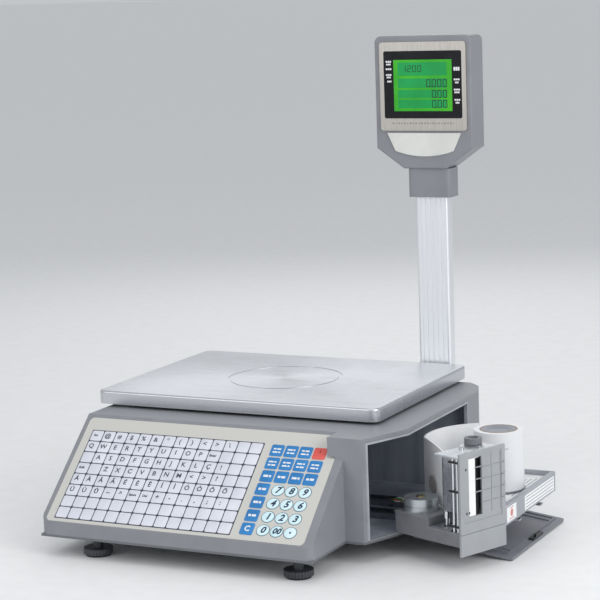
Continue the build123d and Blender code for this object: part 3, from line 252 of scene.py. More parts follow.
def join(whole, part, place=Matrix.Identity(4), keep=False):
    """Copies a part into the whole at a place, and drops the part unless it is used again."""
    copy = bpy.data.meshes.new("copy")
    part.to_mesh(copy)
    copy.transform(place)
    whole.from_mesh(copy)
    bpy.data.meshes.remove(copy)
    if not keep:
        part.free()


def finish_piece(name, bm, material, body, smooth=35.0):
    """Makes the mesh an object with its finish, riding on a CAD body."""
    bmesh.ops.recalc_face_normals(bm, faces=bm.faces)
    mesh = bpy.data.meshes.new(name)
    bm.to_mesh(mesh)
    bm.free()
    mesh.materials.append(material)
    mesh.shade_smooth()
    mesh.set_sharp_from_angle(angle=math.radians(smooth))
    piece = bpy.data.objects.new(name, mesh)
    scene.collection.objects.link(piece)
    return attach(piece, body)


def onto(origin, across, upward):
    """The place of a flat thing: its origin, its X direction and its Y direction."""
    across, upward = Vector(across).normalized(), Vector(upward).normalized()
    out = across.cross(upward)
    turn = Matrix((across, upward, out)).transposed().to_4x4()
    return Matrix.Translation(origin) @ turn


# a row of gold-flashed contact pins in each of the three sockets
rear_low, rear_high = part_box("port_panel")
port_mid = (rear_low + rear_high) / 2
contacts = bmesh.new()
pin_pitch = 0.95
for across, count in ((-24.0, 8), (0.0, 6), (24.0, 9)):
    for number in range(count):
        shift = (number - (count - 1) / 2) * pin_pitch
        pin = slab(0.4 * mm, 4 * mm, 0.4 * mm)
        spot = Vector((port_mid.x + (across + shift) * mm, rear_low.y + 5 * mm, port_mid.z - 1.5 * mm))
        join(contacts, pin, Matrix.Translation(spot))
finish_piece("port_contacts", contacts, rolled_metal("gold_flashed_pins", "B8923A", "E0BE62", 0.25, "Y", 0.3),
             "root")


def raised(found):
    """The vertices that a bmesh operator has made."""
    return [item for item in found["geom"] if isinstance(item, bmesh.types.BMVert)]


def printed_ring(radius, band, segments):
    """A flat printed ring, 0.05 mm thick; its radius and the width of its band in millimetres."""
    bm = bmesh.new()
    bmesh.ops.create_circle(bm, cap_ends=True, segments=segments, radius=radius * mm)
    inner = bmesh.ops.inset_region(bm, faces=bm.faces[:], thickness=band * mm)
    bmesh.ops.delete(bm, geom=[f for f in bm.faces if f not in inner["faces"]], context="FACES")
    top = bmesh.ops.extrude_face_region(bm, geom=bm.faces[:])
    bmesh.ops.translate(bm, vec=(0, 0, 0.05 * mm), verts=raised(top))
    return bm


# printed marks on the rocker: a line and a ring
rocker_low, rocker_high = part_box("power_rocker")
rocker_mid = (rocker_low + rocker_high) / 2
marks = bmesh.new()
rear_face = onto((rocker_mid.x, rocker_high.y + 0.02 * mm, rocker_mid.z), (-1, 0, 0), (0, 0, 1))
join(marks, slab(0.6 * mm, 4.2 * mm, 0.05 * mm), rear_face @ Matrix.Translation((-4 * mm, 0, 0)))
join(marks, printed_ring(1.8, 0.5, 24), rear_face @ Matrix.Translation((4 * mm, 0, 0)))


def printing_ink(name, dark, light, roughness=0.5):
    """Screen-printed ink: an even film with the faint mesh of the screen, 0.4 mm apart."""
    material, tree, shader, at = new_finish(name, roughness, ior=1.48)
    screen = add(tree, "TexNoise", {"Vector": at, "Scale": 1 / (0.4 * mm), "Detail": 1.0})
    shade(tree, shader, screen.outputs["Fac"], dark, light)
    return material


white_ink = printing_ink("white_screen_ink", "E4E6E8", "F4F5F6")
finish_piece("rocker_marks", marks, white_ink, "rocker")

# ---------------------------------------------------------------- Load cell, spider and platter
# The platter is deep-drawn from brushed stainless sheet. It lies on four rubber bumpers on a cast cross that
# an aluminium load cell carries.

machined = rolled_metal("milled_aluminium", "B4B7BB", "D2D5D8", 0.3, "Y", 0.6)
paint(machined, "load_cell", "cell_spacers")


def sand_cast(name):
    """Sand-cast aluminium: pits and grains about 1.5 mm across, dull grey."""
    material, tree, shader, at = new_finish(name, 0.55, metallic=1.0)
    grains = add(tree, "TexVoronoi", {"Vector": at, "Scale": 1 / (1.5 * mm)})
    shade(tree, shader, grains.outputs["Distance"], "7C7F83", "9DA0A4", 0.1, 0.8)
    raise_skin(tree, shader, grains.outputs["Distance"], 0.2 * mm, 0.5)
    return material


cast = sand_cast("sand_cast_aluminium")
paint(cast, "platter_spider")
paint(moulded_rubber("moulded_bumper_rubber"), "platter_bumpers")


def brushed_stainless(name):
    """Stainless sheet brushed from left to right: hair lines up to some centimetres long that stretch the
    highlight, and soft wipe marks where hands and produce have passed."""
    material, tree, shader, at = new_finish(name, 0.3, metallic=1.0)
    hair = add(tree, "Mapping", {"Vector": at, "Scale": (14.0, 1400.0, 500.0)})
    lines = add(tree, "TexNoise", {"Vector": hair.outputs["Vector"], "Scale": 1.0, "Detail": 5.0,
                                   "Roughness": 0.65})
    wipes = add(tree, "TexNoise", {"Vector": at, "Scale": 1 / (120 * mm), "Detail": 4.0, "Distortion": 1.2})
    both = add(tree, "Mix", {"Factor": 0.25, "A": lines.outputs["Fac"], "B": wipes.outputs["Fac"]})
    shade(tree, shader, both.outputs["Result"], "C4C6CA", "D8DADE", 0.3, 0.7)
    vary_gloss(tree, shader, both.outputs["Result"], 0.22, 0.42)
    raise_skin(tree, shader, lines.outputs["Fac"], 0.015 * mm, 0.35)
    shader.inputs["Anisotropic"].default_value = 0.6
    return material


paint(brushed_stainless("brushed_stainless_sheet"), "platter")

# the spirit level under the platter's corner: tinted fluid in a clear cup, with its bubble
cup_low, cup_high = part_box("level_bubble")
cup_mid = (cup_low + cup_high) / 2
paint(moulded_nylon("clear_level_cup", "B9C2C4", "CBD2D3", 0.15), "level_bubble")
vial = bmesh.new()
bmesh.ops.create_circle(vial, cap_ends=True, segments=40, radius=8.9 * mm)
bmesh.ops.translate(vial, vec=(0, 0, 0.5 * mm),
                    verts=raised(bmesh.ops.extrude_face_region(vial, geom=vial.faces[:])))
bmesh.ops.translate(vial, vec=(cup_mid.x, cup_mid.y, cup_high.z - 0.9 * mm), verts=vial.verts)


def tinted_spirit(name, level_at):
    """Green-yellow spirit with a pale bubble 6 mm across and a dark setting ring round it."""
    material, tree, shader, at = new_finish(name, 0.1, ior=1.36)
    centred = add(tree, "Mapping", {"Vector": at, "Location": tuple(-c for c in level_at)})
    away = add(tree, "VectorMath", {0: centred.outputs["Vector"]}, operation="LENGTH")
    rings = add(tree, "ValToRGB", {"Fac": add(tree, "Math", {0: away.outputs["Value"], 1: 100.0},
                                              operation="MULTIPLY").outputs["Value"]})
    stops = rings.color_ramp.elements
    stops[0].position, stops[0].color = 0.0, linear("E6F3B4")
    stops[1].position, stops[1].color = 0.3, linear("9FC23C")
    for place, code in ((0.42, "9FC23C"), (0.44, "2A3312"), (0.48, "2A3312"), (0.5, "A9CC44")):
        stops.new(place).color = linear(code)
    tree.links.new(rings.outputs["Color"], shader.inputs["Base Color"])
    return material


finish_piece("level_fluid", vial, tinted_spirit("tinted_level_spirit", (cup_mid.x, cup_mid.y,
                                                                        cup_high.z - 0.4 * mm)), "root")

# ---------------------------------------------------------------- Keypad
# A polyester film keypad glued into the slope: embossed, domed key fields printed from behind. 112 item keys
# stand on a dark grid; function keys are blue, one is coral, and the numerals sit on pale ovals.

paint(printing_ink("printed_polyester_film", "C9C8C2", "D3D2CC", 0.42), "keypad_overlay")
film_low, film_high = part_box("keypad_overlay")
film_sheet = 0.8 * mm
slope_rise, slope_run = 106.0, 119.0
slope_angle = math.atan2(slope_rise, slope_run)
slope_up = Vector((0, math.cos(slope_angle), math.sin(slope_angle)))
slope_out = Vector((0, -math.sin(slope_angle), math.cos(slope_angle)))
body_mid = (film_low.x + film_high.x) / 2 + 1.0 * mm
film_top = Vector((body_mid, film_high.y - film_sheet * math.sin(slope_angle), film_high.z))
slope_start = film_top + 5.0 * mm * slope_up


def on_slope(x, s, out=0.0):
    """A place on the keypad: across from the middle of the body, down the slope and out of it, in mm."""
    spot = slope_start - slope_up * (s * mm) + slope_out * (out * mm)
    return onto(spot + Vector((x * mm, 0, 0)), (1, 0, 0), slope_up)


def key_film(name, dark, light):
    """Printed polyester over a metal dome: satin, with a fine screen mottle of 1.5 mm."""
    material, tree, shader, at = new_finish(name, 0.38, ior=1.58)
    mottle = add(tree, "TexNoise", {"Vector": at, "Scale": 1 / (1.5 * mm), "Detail": 3.0})
    tone = add(tree, "TexNoise", {"Vector": at, "Scale": 1 / (25 * mm), "Detail": 2.0})
    both = add(tree, "Mix", {"Factor": 0.6, "A": mottle.outputs["Fac"], "B": tone.outputs["Fac"]})
    shade(tree, shader, both.outputs["Result"], dark, light, 0.35, 0.65)
    raise_skin(tree, shader, mottle.outputs["Fac"], 0.02 * mm, 0.25)
    return material


grid_left, grid_right, grid_top, grid_bottom = -162.0, 75.0, 24.0, 153.0
columns, rows = 14, 8
key_gap = 1.3
pitch_x, pitch_s = (grid_right - grid_left) / columns, (grid_bottom - grid_top) / rows
grid_edge = 1.2
grid = bmesh.new()
join(grid, slab((grid_right - grid_left + grid_edge) * mm, (grid_bottom - grid_top + grid_edge) * mm,
                0.12 * mm, 0.5 * mm),
     on_slope((grid_left + grid_right) / 2, (grid_top + grid_bottom) / 2))
finish_piece("item_grid", grid, printing_ink("dark_grid_ink", "343A4A", "424858"), "root")

item_key = slab((pitch_x - key_gap) * mm, (pitch_s - key_gap) * mm, 0.5 * mm, 1.9 * mm, 0.22 * mm)
item_keys = bmesh.new()
for row in range(rows):
    for column in range(columns):
        join(item_keys, item_key, on_slope(grid_left + (column + 0.5) * pitch_x,
                                           grid_top + (row + 0.5) * pitch_s, 0.08), keep=True)
item_key.free()
finish_piece("item_keys", item_keys, key_film("white_key_film", "D6D9E4", "E6E8F0"), "root")


def letters(whole, text, size, place, bold=0.0, slant=0.0, thick=0.03):
    """Adds lettering, centred on a place; sizes in millimetres."""
    curve = bpy.data.curves.new("letters", "FONT")
    curve.body, curve.size, curve.shear = text, size * mm, slant
    curve.align_x, curve.align_y = "CENTER", "CENTER"
    curve.offset, curve.extrude, curve.resolution_u = bold * mm, thick * mm, 2
    holder = bpy.data.objects.new("letters", curve)
    mesh = bpy.data.meshes.new_from_object(holder)
    mesh.transform(place)
    whole.from_mesh(mesh)
    bpy.data.objects.remove(holder)
    bpy.data.curves.remove(curve)
    bpy.data.meshes.remove(mesh)


legend_rows = (("Esc", "@", "#", "$", "%", "&", "*", "(", ")", "<", ">", "\\"),
               ("Q", "W", "E", "R", "T", "Y", "U", "I", "O", "P", "Enter"),
               ("", "A", "S", "D", "F", "G", "H", "J", "K", "L", "Ç", "!"),
               ("Shift", "", "Z", "X", "C", "V", "B", "N", "M", "<", ">", "?"),
               ("Á", "À", "Â", "Ã", "É", "È", "Ê", "Í", "Ì",
                "Ó", "Ò", "Ô", "Õ"),
               ("Ú", "Ù", "Û", "~", "^", "Space", "Del", "+", "-", ".", ",", ";", ":"))
item_legends = bmesh.new()
for row, legends in enumerate(legend_rows):
    for column, legend in enumerate(legends):
        spot = on_slope(grid_left + (column + 0.42) * pitch_x, grid_top + (row + 0.46) * pitch_s, 0.6)
        letters(item_legends, legend, 4.4 if len(legend) > 2 else 8.8, spot, 0.2)
finish_piece("item_legends", item_legends, printing_ink("grey_legend_ink", "3E4352", "4C5160"), "root")

# function block: seven rows of keys down its left column, three rows of four across the top
function_left, function_top, function_pitch_x, function_pitch_s = 86.3, 24.5, 18.5, 18.36
key_wide, key_deep = 16.6, 16.2
function_key = slab(key_wide * mm, key_deep * mm, 0.6 * mm, 2.0 * mm, 0.3 * mm)
function_places = [(column, row) for row in range(3) for column in range(4) if (column, row) != (3, 0)]
function_places += [(0, row) for row in range(3, 7)]


def function_spot(column, row, out=0.0):
    """The middle of a key of the function block."""
    return on_slope(function_left + key_wide / 2 + column * function_pitch_x,
                    function_top + key_deep / 2 + row * function_pitch_s, out)


blue_keys = bmesh.new()
blue_marks = bmesh.new()
for column, row in function_places:
    join(blue_keys, function_key, function_spot(column, row), keep=True)
    if (column, row) == (0, 6):
        letters(blue_marks, "C", 10.0, function_spot(column, row, 0.64), 0.35)
        continue
    lines = (-2.6, 2.0) if row < 2 else (0.0,)
    for step, height in enumerate(lines):
        words = (3.6, 5.2) if (column + row + step) % 2 else (6.4, 2.6)
        start = -(sum(words) + 1.0) / 2
        for word in words:
            tall = 2.1 if len(lines) > 1 else 3.0
            beside = Matrix.Translation(((start + word / 2) * mm, height * mm, 0))
            join(blue_marks, slab(word * mm, tall * mm, 0.05 * mm, 0.4 * mm),
                 function_spot(column, row, 0.6) @ beside)
            start += word + 1.0
finish_piece("function_keys", blue_keys, key_film("blue_key_film", "1874B6", "2585CA"), "root")
finish_piece("function_marks", blue_marks, white_ink, "root")

coral_key = bmesh.new()
join(coral_key, function_key, function_spot(3, 0))
finish_piece("coral_key", coral_key, key_film("coral_key_film", "DC5048", "E6625A"), "root")
coral_marks = bmesh.new()
coral_face = function_spot(3, 0, 0.6)
join(coral_marks, printed_ring(4.0, 1.0, 32), coral_face)
join(coral_marks, slab(1.0 * mm, 4.4 * mm, 0.06 * mm), coral_face @ Matrix.Translation((0, 3 * mm, 0)))
finish_piece("coral_marks", coral_marks, printing_ink("maroon_ink", "6A1F22", "7A292B"), "root")


def oval(wide, deep, tall, edge):
    """A plate with an oval plan and a soft top edge."""
    bm = bmesh.new()
    bmesh.ops.create_circle(bm, cap_ends=True, segments=36, radius=1.0)
    bmesh.ops.scale(bm, vec=(wide / 2, deep / 2, 1.0), verts=bm.verts)
    top = bmesh.ops.extrude_face_region(bm, geom=bm.faces[:])
    bmesh.ops.translate(bm, vec=(0, 0, tall), verts=raised(top))
    if edge:
        rim = [e for e in bm.edges if min(v.co.z for v in e.verts) > tall * 0.99]
        bmesh.ops.bevel(bm, geom=rim, offset=edge, segments=2, affect="EDGES", profile=0.5, material=-1)
    return bm


numeral_places = [(column, row) for row in range(4) for column in range(3)]
numeral_start, numeral_pitch = 20.2, 17.4
numerals = ("7", "8", "9", "4", "5", "6", "1", "2", "3", "0", "00", ".")
outlines, ovals, digits = bmesh.new(), bmesh.new(), bmesh.new()
outline_plate = oval(16.6 * mm, 15.6 * mm, 0.2 * mm, 0.0)
oval_plate = oval(15.2 * mm, 14.2 * mm, 0.55 * mm, 0.25 * mm)
for (column, row), numeral in zip(numeral_places, numerals):
    x = function_left + key_wide / 2 + numeral_start + column * numeral_pitch
    s = function_top + key_deep / 2 + (row + 3) * function_pitch_s
    join(outlines, outline_plate, on_slope(x, s), keep=True)
    join(ovals, oval_plate, on_slope(x, s), keep=True)
    if numeral == ".":
        join(digits, oval(2.6 * mm, 2.6 * mm, 0.05 * mm, 0.0), on_slope(x, s, 0.55))
    else:
        letters(digits, numeral, 12.0 if len(numeral) == 1 else 10.5, on_slope(x, s, 0.6), 0.4, 0.25)
outline_plate.free()
oval_plate.free()
finish_piece("numeral_outlines", outlines, printing_ink("teal_outline_ink", "27566A", "336479"), "root")
finish_piece("numeral_keys", ovals, key_film("pale_cyan_key_film", "D2F1F8", "E4F9FE"), "root")
finish_piece("numeral_digits", digits, printing_ink("navy_ink", "16324A", "203F5A"), "root")

# ---------------------------------------------------------------- Printer bay door
# One ABS moulding with a stiffening rim, on a steel hinge pin between screwed knuckles; a black snap catch
# stands at its free edge.

paint(moulded_nylon("door_grey_abs", "787A81", "80828A", 0.5, 0.8), "door_panel")
paint(black_nylon_and_shade, "door_latch")
paint(rolled_metal("bright_steel_pin", "A9ACB0", "CFD2D5", 0.2, "Y", 0.4), "door_hinge_pin")
paint(zinc_plate, "hinge_knuckles")

# ---------------------------------------------------------------- Drawer slides and drawer base
# Two telescopic rails of zinc-plated strip, the outer ones in the bay, carry the steel drawer base.

paint(rolled_metal("cold_rolled_rail", "8F9297", "B1B4B9", 0.3, "X", 0.6), "slide_outer", "slide_middle")
paint(zinc_plate, "drawer_base")

# ---------------------------------------------------------------- Gearbox, motor and leads
# A grey glass-filled nylon gearbox with white acetal gears; a can-type stepper motor stands on it, and its
# four silicone leads run down to a plug on the drawer base.

paint(moulded_nylon("glass_filled_nylon", "74757A", "828388", 0.5, 0.9), "gearbox_housing")
paint(moulded_nylon("gearbox_lid_nylon", "7C7D81", "8A8B8E", 0.46, 0.9), "gearbox_cover")
acetal = moulded_nylon("white_acetal", "D8D7D1", "E8E7E2", 0.35, 0.5)
paint(acetal, "idler_gear_a", "idler_gear_b")
paint(rolled_metal("sintered_pinion", "8C8578", "B0A896", 0.4, "Z", 0.4), "motor_pinion")


def drawn_can(name):
    """Zinc-plated deep-drawn steel can: bright rings of turning, cooler in tone than the frame."""
    material, tree, shader, at = new_finish(name, 0.28, metallic=0.75)
    stretched = add(tree, "Mapping", {"Vector": at, "Scale": (9.0, 9.0, 2200.0)})
    rings = add(tree, "TexNoise", {"Vector": stretched.outputs["Vector"], "Scale": 1.0, "Detail": 4.0})
    cloud = add(tree, "TexNoise", {"Vector": at, "Scale": 1 / (11 * mm), "Detail": 4.0})
    both = add(tree, "Mix", {"Factor": 0.5, "A": rings.outputs["Fac"], "B": cloud.outputs["Fac"]})
    shade(tree, shader, both.outputs["Result"], "B2B9BD", "D0D6D9", 0.32, 0.68)
    vary_gloss(tree, shader, cloud.outputs["Fac"], 0.22, 0.42)
    raise_skin(tree, shader, rings.outputs["Fac"], 0.02 * mm, 0.3)
    return material


paint(drawn_can("zinc_plated_motor_can"), "stepper_motor")

motor_low, motor_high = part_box("stepper_motor")
motor_mid = (motor_low + motor_high) / 2
seam = bmesh.new()
bmesh.ops.create_circle(seam, segments=64, radius=20.25 * mm)
band = bmesh.ops.extrude_edge_only(seam, edges=seam.edges[:])
bmesh.ops.translate(seam, vec=(0, 0, 1.2 * mm), verts=raised(band))
bmesh.ops.solidify(seam, geom=seam.faces[:], thickness=0.5 * mm)
bmesh.ops.translate(seam, vec=(motor_mid.x, motor_mid.y, motor_high.z - 10 * mm), verts=seam.verts)
finish_piece("motor_seam_ring", seam, zinc_plate, "drawer")


def turned(outline, steps, closed=True):
    """A body turned about Z from an outline of radii and heights in millimetres. A closed outline runs back
    to its start; an open one starts on the axis."""
    bm = bmesh.new()
    points = [bm.verts.new((x * mm, 0, z * mm)) for x, z in outline]
    ends = points[1:] + points[:1] if closed else points[1:]
    for start, end in zip(points, ends):
        bm.edges.new((start, end))
    bmesh.ops.spin(bm, geom=bm.verts[:] + bm.edges[:], cent=(0, 0, 0), axis=(0, 0, 1), angle=math.tau,
                   steps=steps, use_merge=True)
    if not closed:
        bmesh.ops.remove_doubles(bm, verts=bm.verts, dist=0.01 * mm)
    return bm


boss = turned(((2.4, 0.0), (5.6, 0.0), (5.6, 0.6), (4.4, 1.2), (2.4, 1.2)), 40)
bmesh.ops.translate(boss, vec=(motor_mid.x, motor_mid.y, motor_high.z), verts=boss.verts)
brass = rolled_metal("brass_bush", "A8946A", "C2B088", 0.28, "Z", 0.3)
finish_piece("motor_bearing_boss", boss, brass, "drawer")


def silicone_lead(name, dark, light):
    """Soft silicone insulation: satin, with slight waves of tone along the lead."""
    material, tree, shader, at = new_finish(name, 0.45, ior=1.43)
    wave = add(tree, "TexNoise", {"Vector": at, "Scale": 1 / (6 * mm), "Detail": 2.0})
    shade(tree, shader, wave.outputs["Fac"], dark, light)
    raise_skin(tree, shader, wave.outputs["Fac"], 0.03 * mm, 0.3)
    return material


plug_low, plug_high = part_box("motor_leads")
plug_top = Vector((plug_low.x + 5.0 * mm, plug_high.y - 12 * mm, plug_low.z + 5.0 * mm))
lead_start = Vector((plug_high.x, plug_low.y + 2 * mm, plug_high.z - 1 * mm))
lead_finishes = (("white", "DEDEDA", "F0F0EC"), ("red", "B23A30", "CC4A3E"), ("green", "2F7F4C", "3F9A5E"),
                 ("brown", "6A4634", "7E5744"))
for number, (tone, dark, light) in enumerate(lead_finishes):
    curve = bpy.data.curves.new("lead", "CURVE")
    curve.dimensions, curve.bevel_depth, curve.bevel_resolution, curve.resolution_u = "3D", 0.6 * mm, 2, 8
    line = curve.splines.new("BEZIER")
    shift = Vector((-1.25 * mm, -0.9 * mm, 0)) * number
    bow = (1.0, -0.6, 0.4, -1.0)[number] * mm
    points = (lead_start + shift, lead_start + shift + Vector((-12 * mm, 5 * mm, 3 * mm + bow)),
              lead_start + shift + Vector((-24 * mm, 14 * mm, -2 * mm - bow)),
              plug_top + Vector((6.0 * mm - 1.5 * number * mm, -9 * mm, 2.5 * mm + bow)),
              plug_top + Vector((2.2 * mm - 1.5 * number * mm, 0, -1.5 * mm)))
    line.bezier_points.add(len(points) - 1)
    for handle, point in zip(line.bezier_points, points):
        handle.co = point
        handle.handle_left_type = handle.handle_right_type = "AUTO"
    holder = bpy.data.objects.new("lead", curve)
    mesh = bpy.data.meshes.new_from_object(holder)
    bpy.data.objects.remove(holder)
    bpy.data.curves.remove(curve)
    lead = bmesh.new()
    lead.from_mesh(mesh)
    bpy.data.meshes.remove(mesh)
    sheath = silicone_lead(tone + "_silicone", dark, light)
    piece = finish_piece("motor_lead_" + tone, lead, sheath, "drawer", 60.0)
    if number == 0:
        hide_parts("motor_leads")
plug = slab(9 * mm, 16 * mm, 5.5 * mm, 0.6 * mm, 0.5 * mm)
bmesh.ops.translate(plug, vec=(plug_low.x + 4.5 * mm, plug_high.y - 8 * mm, plug_low.z), verts=plug.verts)
finish_piece("motor_plug", plug, acetal, "drawer")

# ---------------------------------------------------------------- Printer frame and print head
# Zinc-plated steel plates held apart by bright rods. The head swings on one rod and presses a ceramic heater
# strip against the rubber platen; its small green board stands beside the bezel.

paint(zinc_plate, "printer_frame")
paint(rolled_metal("bright_top_plate", "C6C9CD", "D8DBDE", 0.28, "X", 0.5), "top_plate")
paint(rolled_metal("ground_rod_steel", "D2D5D8", "E4E6E8", 0.16, "Z", 0.4), "head_hardware")
paint(rolled_metal("head_carrier_steel", "A3A6AA", "CACDD1", 0.24, "Z", 0.4), "head_carrier")


def glazed_ceramic(name):
    """Glazed alumina with the brown heater line: glossy, banded along its height."""
    material, tree, shader, at = new_finish(name, 0.12, ior=1.65)
    bands = add(tree, "TexWave", {"Vector": at, "Scale": 1 / (9 * mm), "Distortion": 2.0, "Detail": 2.0},
                bands_direction="Z")
    shade(tree, shader, bands.outputs["Fac"], "3A2C26", "5A4438", 0.2, 0.9)
    return material


paint(glazed_ceramic("glazed_heater_ceramic"), "print_head")
paint(moulded_rubber("ground_platen_rubber"), "platen_roller")
paint(moulded_nylon("grey_knob_abs", "6E7074", "808286", 0.45, 0.6), "guide_roller")

bezel_low, bezel_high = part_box("bezel_plate")
bezel_width = 74 * mm
bay_out, bay_run = 28.0, 68.0
bay_angle = math.atan2(bay_out, bay_run)
along_bezel = Vector((math.sin(bay_angle), math.cos(bay_angle), 0))
into_bezel = Vector((-math.cos(bay_angle), math.sin(bay_angle), 0))
bezel_corner = Vector((bezel_high.x - bezel_width * math.sin(bay_angle), bezel_low.y, 0))


def by_bezel(s, t, z):
    """A point of the printer: along the bezel from its near corner, inwards from its face, and up, in mm."""
    return bezel_corner + along_bezel * (s * mm) + into_bezel * (t * mm) + Vector((0, 0, z * mm))


def upright_plate(wide, tall, thick, s, t, z, corner=0.0, edge=0.0):
    """A plate that stands in the bezel's plane, its outer face away from the printer, centred on s and z."""
    plate = slab(wide * mm, tall * mm, thick * mm, corner * mm, edge * mm)
    bmesh.ops.transform(plate, matrix=onto(by_bezel(s, t, z), along_bezel, (0, 0, 1)), verts=plate.verts)
    return plate


def side_plate(wide, tall, thick, s, t, z, corner=0.0, edge=0.0):
    """A plate that stands across the printer, its outer face towards the operator, centred on t and z."""
    plate = slab(wide * mm, tall * mm, thick * mm, corner * mm, edge * mm)
    bmesh.ops.transform(plate, matrix=onto(by_bezel(s, t, z), -into_bezel, (0, 0, 1)), verts=plate.verts)
    return plate


head_board = bmesh.new()
join(head_board, side_plate(5.0, 34.0, 1.2, 9.6, 6.8, 72.0, 0.4, 0.1))
finish_piece("head_board", head_board, mask_green, "drawer")
flex = bmesh.new()
join(flex, side_plate(4.0, 40.0, 0.3, 9.8, 7.0, 110.0, 0.3))
finish_piece("head_flex_cable", flex, silicone_lead("brown_polyimide", "5A3A2C", "74503C"), "drawer")
clips = bmesh.new()
for height in (52.0, 93.0, 127.0):
    join(clips, side_plate(17.0, 2.4, 1.0, 8.9, 18.0, height, 0.6, 0.3))
finish_piece("rod_clips", clips, black_nylon_and_shade, "drawer")

# ---------------------------------------------------------------- Bezel and label slot
# Two light grey ABS mouldings with a fine seam between them. A white nylon strip guides the label beside the
# slot, three thin fingers cross the slot, and four tips stand at the bezel's far edge.

paint(moulded_nylon("bezel_grey_abs", "9DA0A3", "A3A6A9", 0.48, 0.6), "bezel_plate", "bezel_lower")
strip = bmesh.new()
join(strip, upright_plate(10.6, 66.5, 0.9, 20.0, 1.7, 99.0, 0.5, 0.2))
strip_nylon = moulded_nylon("white_strip_nylon", "F0F0EE", "FAFAF8", 0.4, 0.5)
finish_piece("label_guide_strip", strip, strip_nylon, "drawer")

comb = bmesh.new()
for height in (92.5, 107.3, 121.0):
    finger = slab(13.0 * mm, 1.3 * mm, 1.1 * mm, 0.5 * mm, 0.35 * mm)
    join(comb, finger, onto(by_bezel(31.0, 1.2, height), along_bezel, (0, 0, 1)))
for height in (80.5, 94.0, 107.5, 121.0):
    tip = slab(2.4 * mm, 1.0 * mm, 1.4 * mm, 0.4 * mm, 0.3 * mm)
    join(comb, tip, onto(by_bezel(72.6, 0.9, height), along_bezel, (0, 0, 1)))
finish_piece("exit_comb", comb, moulded_nylon("comb_grey_nylon", "8C8F92", "9A9DA0", 0.4, 0.5), "drawer")

# a thin black plate behind the slot: painted shade, standing for the shadow inside the label slot
painted_slot_shade = bmesh.new()
join(painted_slot_shade, upright_plate(9.6, 67.0, 0.4, 31.0, 6.4, 99.0))
finish_piece("slot_shade", painted_slot_shade, black_nylon_and_shade, "drawer")
# three small black plates on the bezel's face: painted shade, standing for the dark inside its catch holes
catch_hole_shade = bmesh.new()
for s, z in ((10.0, 121.0), (10.5, 70.0), (14.5, 70.0)):
    join(catch_hole_shade, upright_plate(1.6, 3.0, 0.3, s, 0.65, z, 0.5))
finish_piece("bezel_catch_hole_shade", catch_hole_shade, black_nylon_and_shade, "drawer")

# ---------------------------------------------------------------- Roll tray, hub, label roll and paper guide
# The tray is a grey ABS moulding with blank white stickers on it. A wound roll of thermal labels stands on
# its hub, and a curved white guide leads the web round to the head.

paint(moulded_nylon("tray_grey_abs", "9B9EA5", "ACAFB6", 0.46), "roll_tray")
paint(moulded_nylon("hub_grey_abs", "70737A", "83868D", 0.42), "roll_hub")

roll_low, roll_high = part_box("label_roll")
roll_mid = (roll_low + roll_high) / 2


def wound_labels(name):
    """Wound thermal label paper: bright white round the outside, with fine rings of the web's edges on the
    ends, about 1.6 mm apart here because the real 0.15 mm would not show."""
    material, tree, shader, at = new_finish(name, 0.55, ior=1.5)
    centred = add(tree, "Mapping", {"Vector": at, "Location": (-roll_mid.x, -roll_mid.y, 0.0),
                                    "Scale": (1.0, 1.0, 0.0)})
    away = add(tree, "VectorMath", {0: centred.outputs["Vector"]}, operation="LENGTH")
    edges = add(tree, "Math", {0: away.outputs["Value"], 1: math.tau / (1.6 * mm)}, operation="MULTIPLY")
    rings = add(tree, "Math", {0: edges.outputs["Value"]}, operation="SINE")
    fibre = add(tree, "TexNoise", {"Vector": at, "Scale": 1 / (1.0 * mm), "Detail": 4.0})
    both = add(tree, "Mix", {"Factor": 0.75, "A": rings.outputs["Value"], "B": fibre.outputs["Fac"]})
    shade(tree, shader, both.outputs["Result"], "E3E4E6", "F7F8F9", 0.1, 0.7)
    raise_skin(tree, shader, fibre.outputs["Fac"], 0.03 * mm, 0.3)
    return material


paint(wound_labels("wound_thermal_paper"), "label_roll")


def thermal_paper(name, dark="ECEDEE", light="F8F9FA"):
    """Coated thermal paper: smooth and white, with a faint cloudiness of fibre 3 mm across."""
    material, tree, shader, at = new_finish(name, 0.5, ior=1.5)
    cloud = add(tree, "TexNoise", {"Vector": at, "Scale": 1 / (3 * mm), "Detail": 5.0})
    shade(tree, shader, cloud.outputs["Fac"], dark, light)
    raise_skin(tree, shader, cloud.outputs["Fac"], 0.02 * mm, 0.25)
    return material


paper = thermal_paper("coated_thermal_paper")
paint(moulded_nylon("white_guide_styrene", "F2F3F4", "FAFAFB", 0.35, 0.6), "paper_guide")

# core of the roll and the grey cap pressed into it
core_edge = turned(((20.9, -6.0), (22.9, -6.0), (22.9, 0.35), (22.3, 0.6), (21.2, 0.6), (20.9, 0.2)), 64)
bmesh.ops.translate(core_edge, vec=(roll_mid.x, roll_mid.y, roll_high.z), verts=core_edge.verts)
finish_piece("roll_core_edge", core_edge, thermal_paper("brown_core_board", "8E7D70", "A08F81"), "roll")

plug_cap = turned(((0.0, -4.0), (10.5, -4.0), (15.0, -3.2), (19.6, -0.6), (20.8, -0.6)), 48, closed=False)
bmesh.ops.recalc_face_normals(plug_cap, faces=plug_cap.faces)
bmesh.ops.solidify(plug_cap, geom=plug_cap.faces[:], thickness=0.8 * mm)
bmesh.ops.translate(plug_cap, vec=(roll_mid.x, roll_mid.y, roll_high.z), verts=plug_cap.verts)
finish_piece("roll_core_cap", plug_cap, moulded_nylon("cap_grey_abs", "7A7E88", "8E929B", 0.35), "roll")

# stickers on the tray's outer wall, its card floor, and their printed lines
tray_low, tray_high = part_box("roll_tray")
side_x = tray_high.x
rim_z = tray_low.z + 23.5 * mm
stickers, ruled, stamped = bmesh.new(), bmesh.new(), bmesh.new()


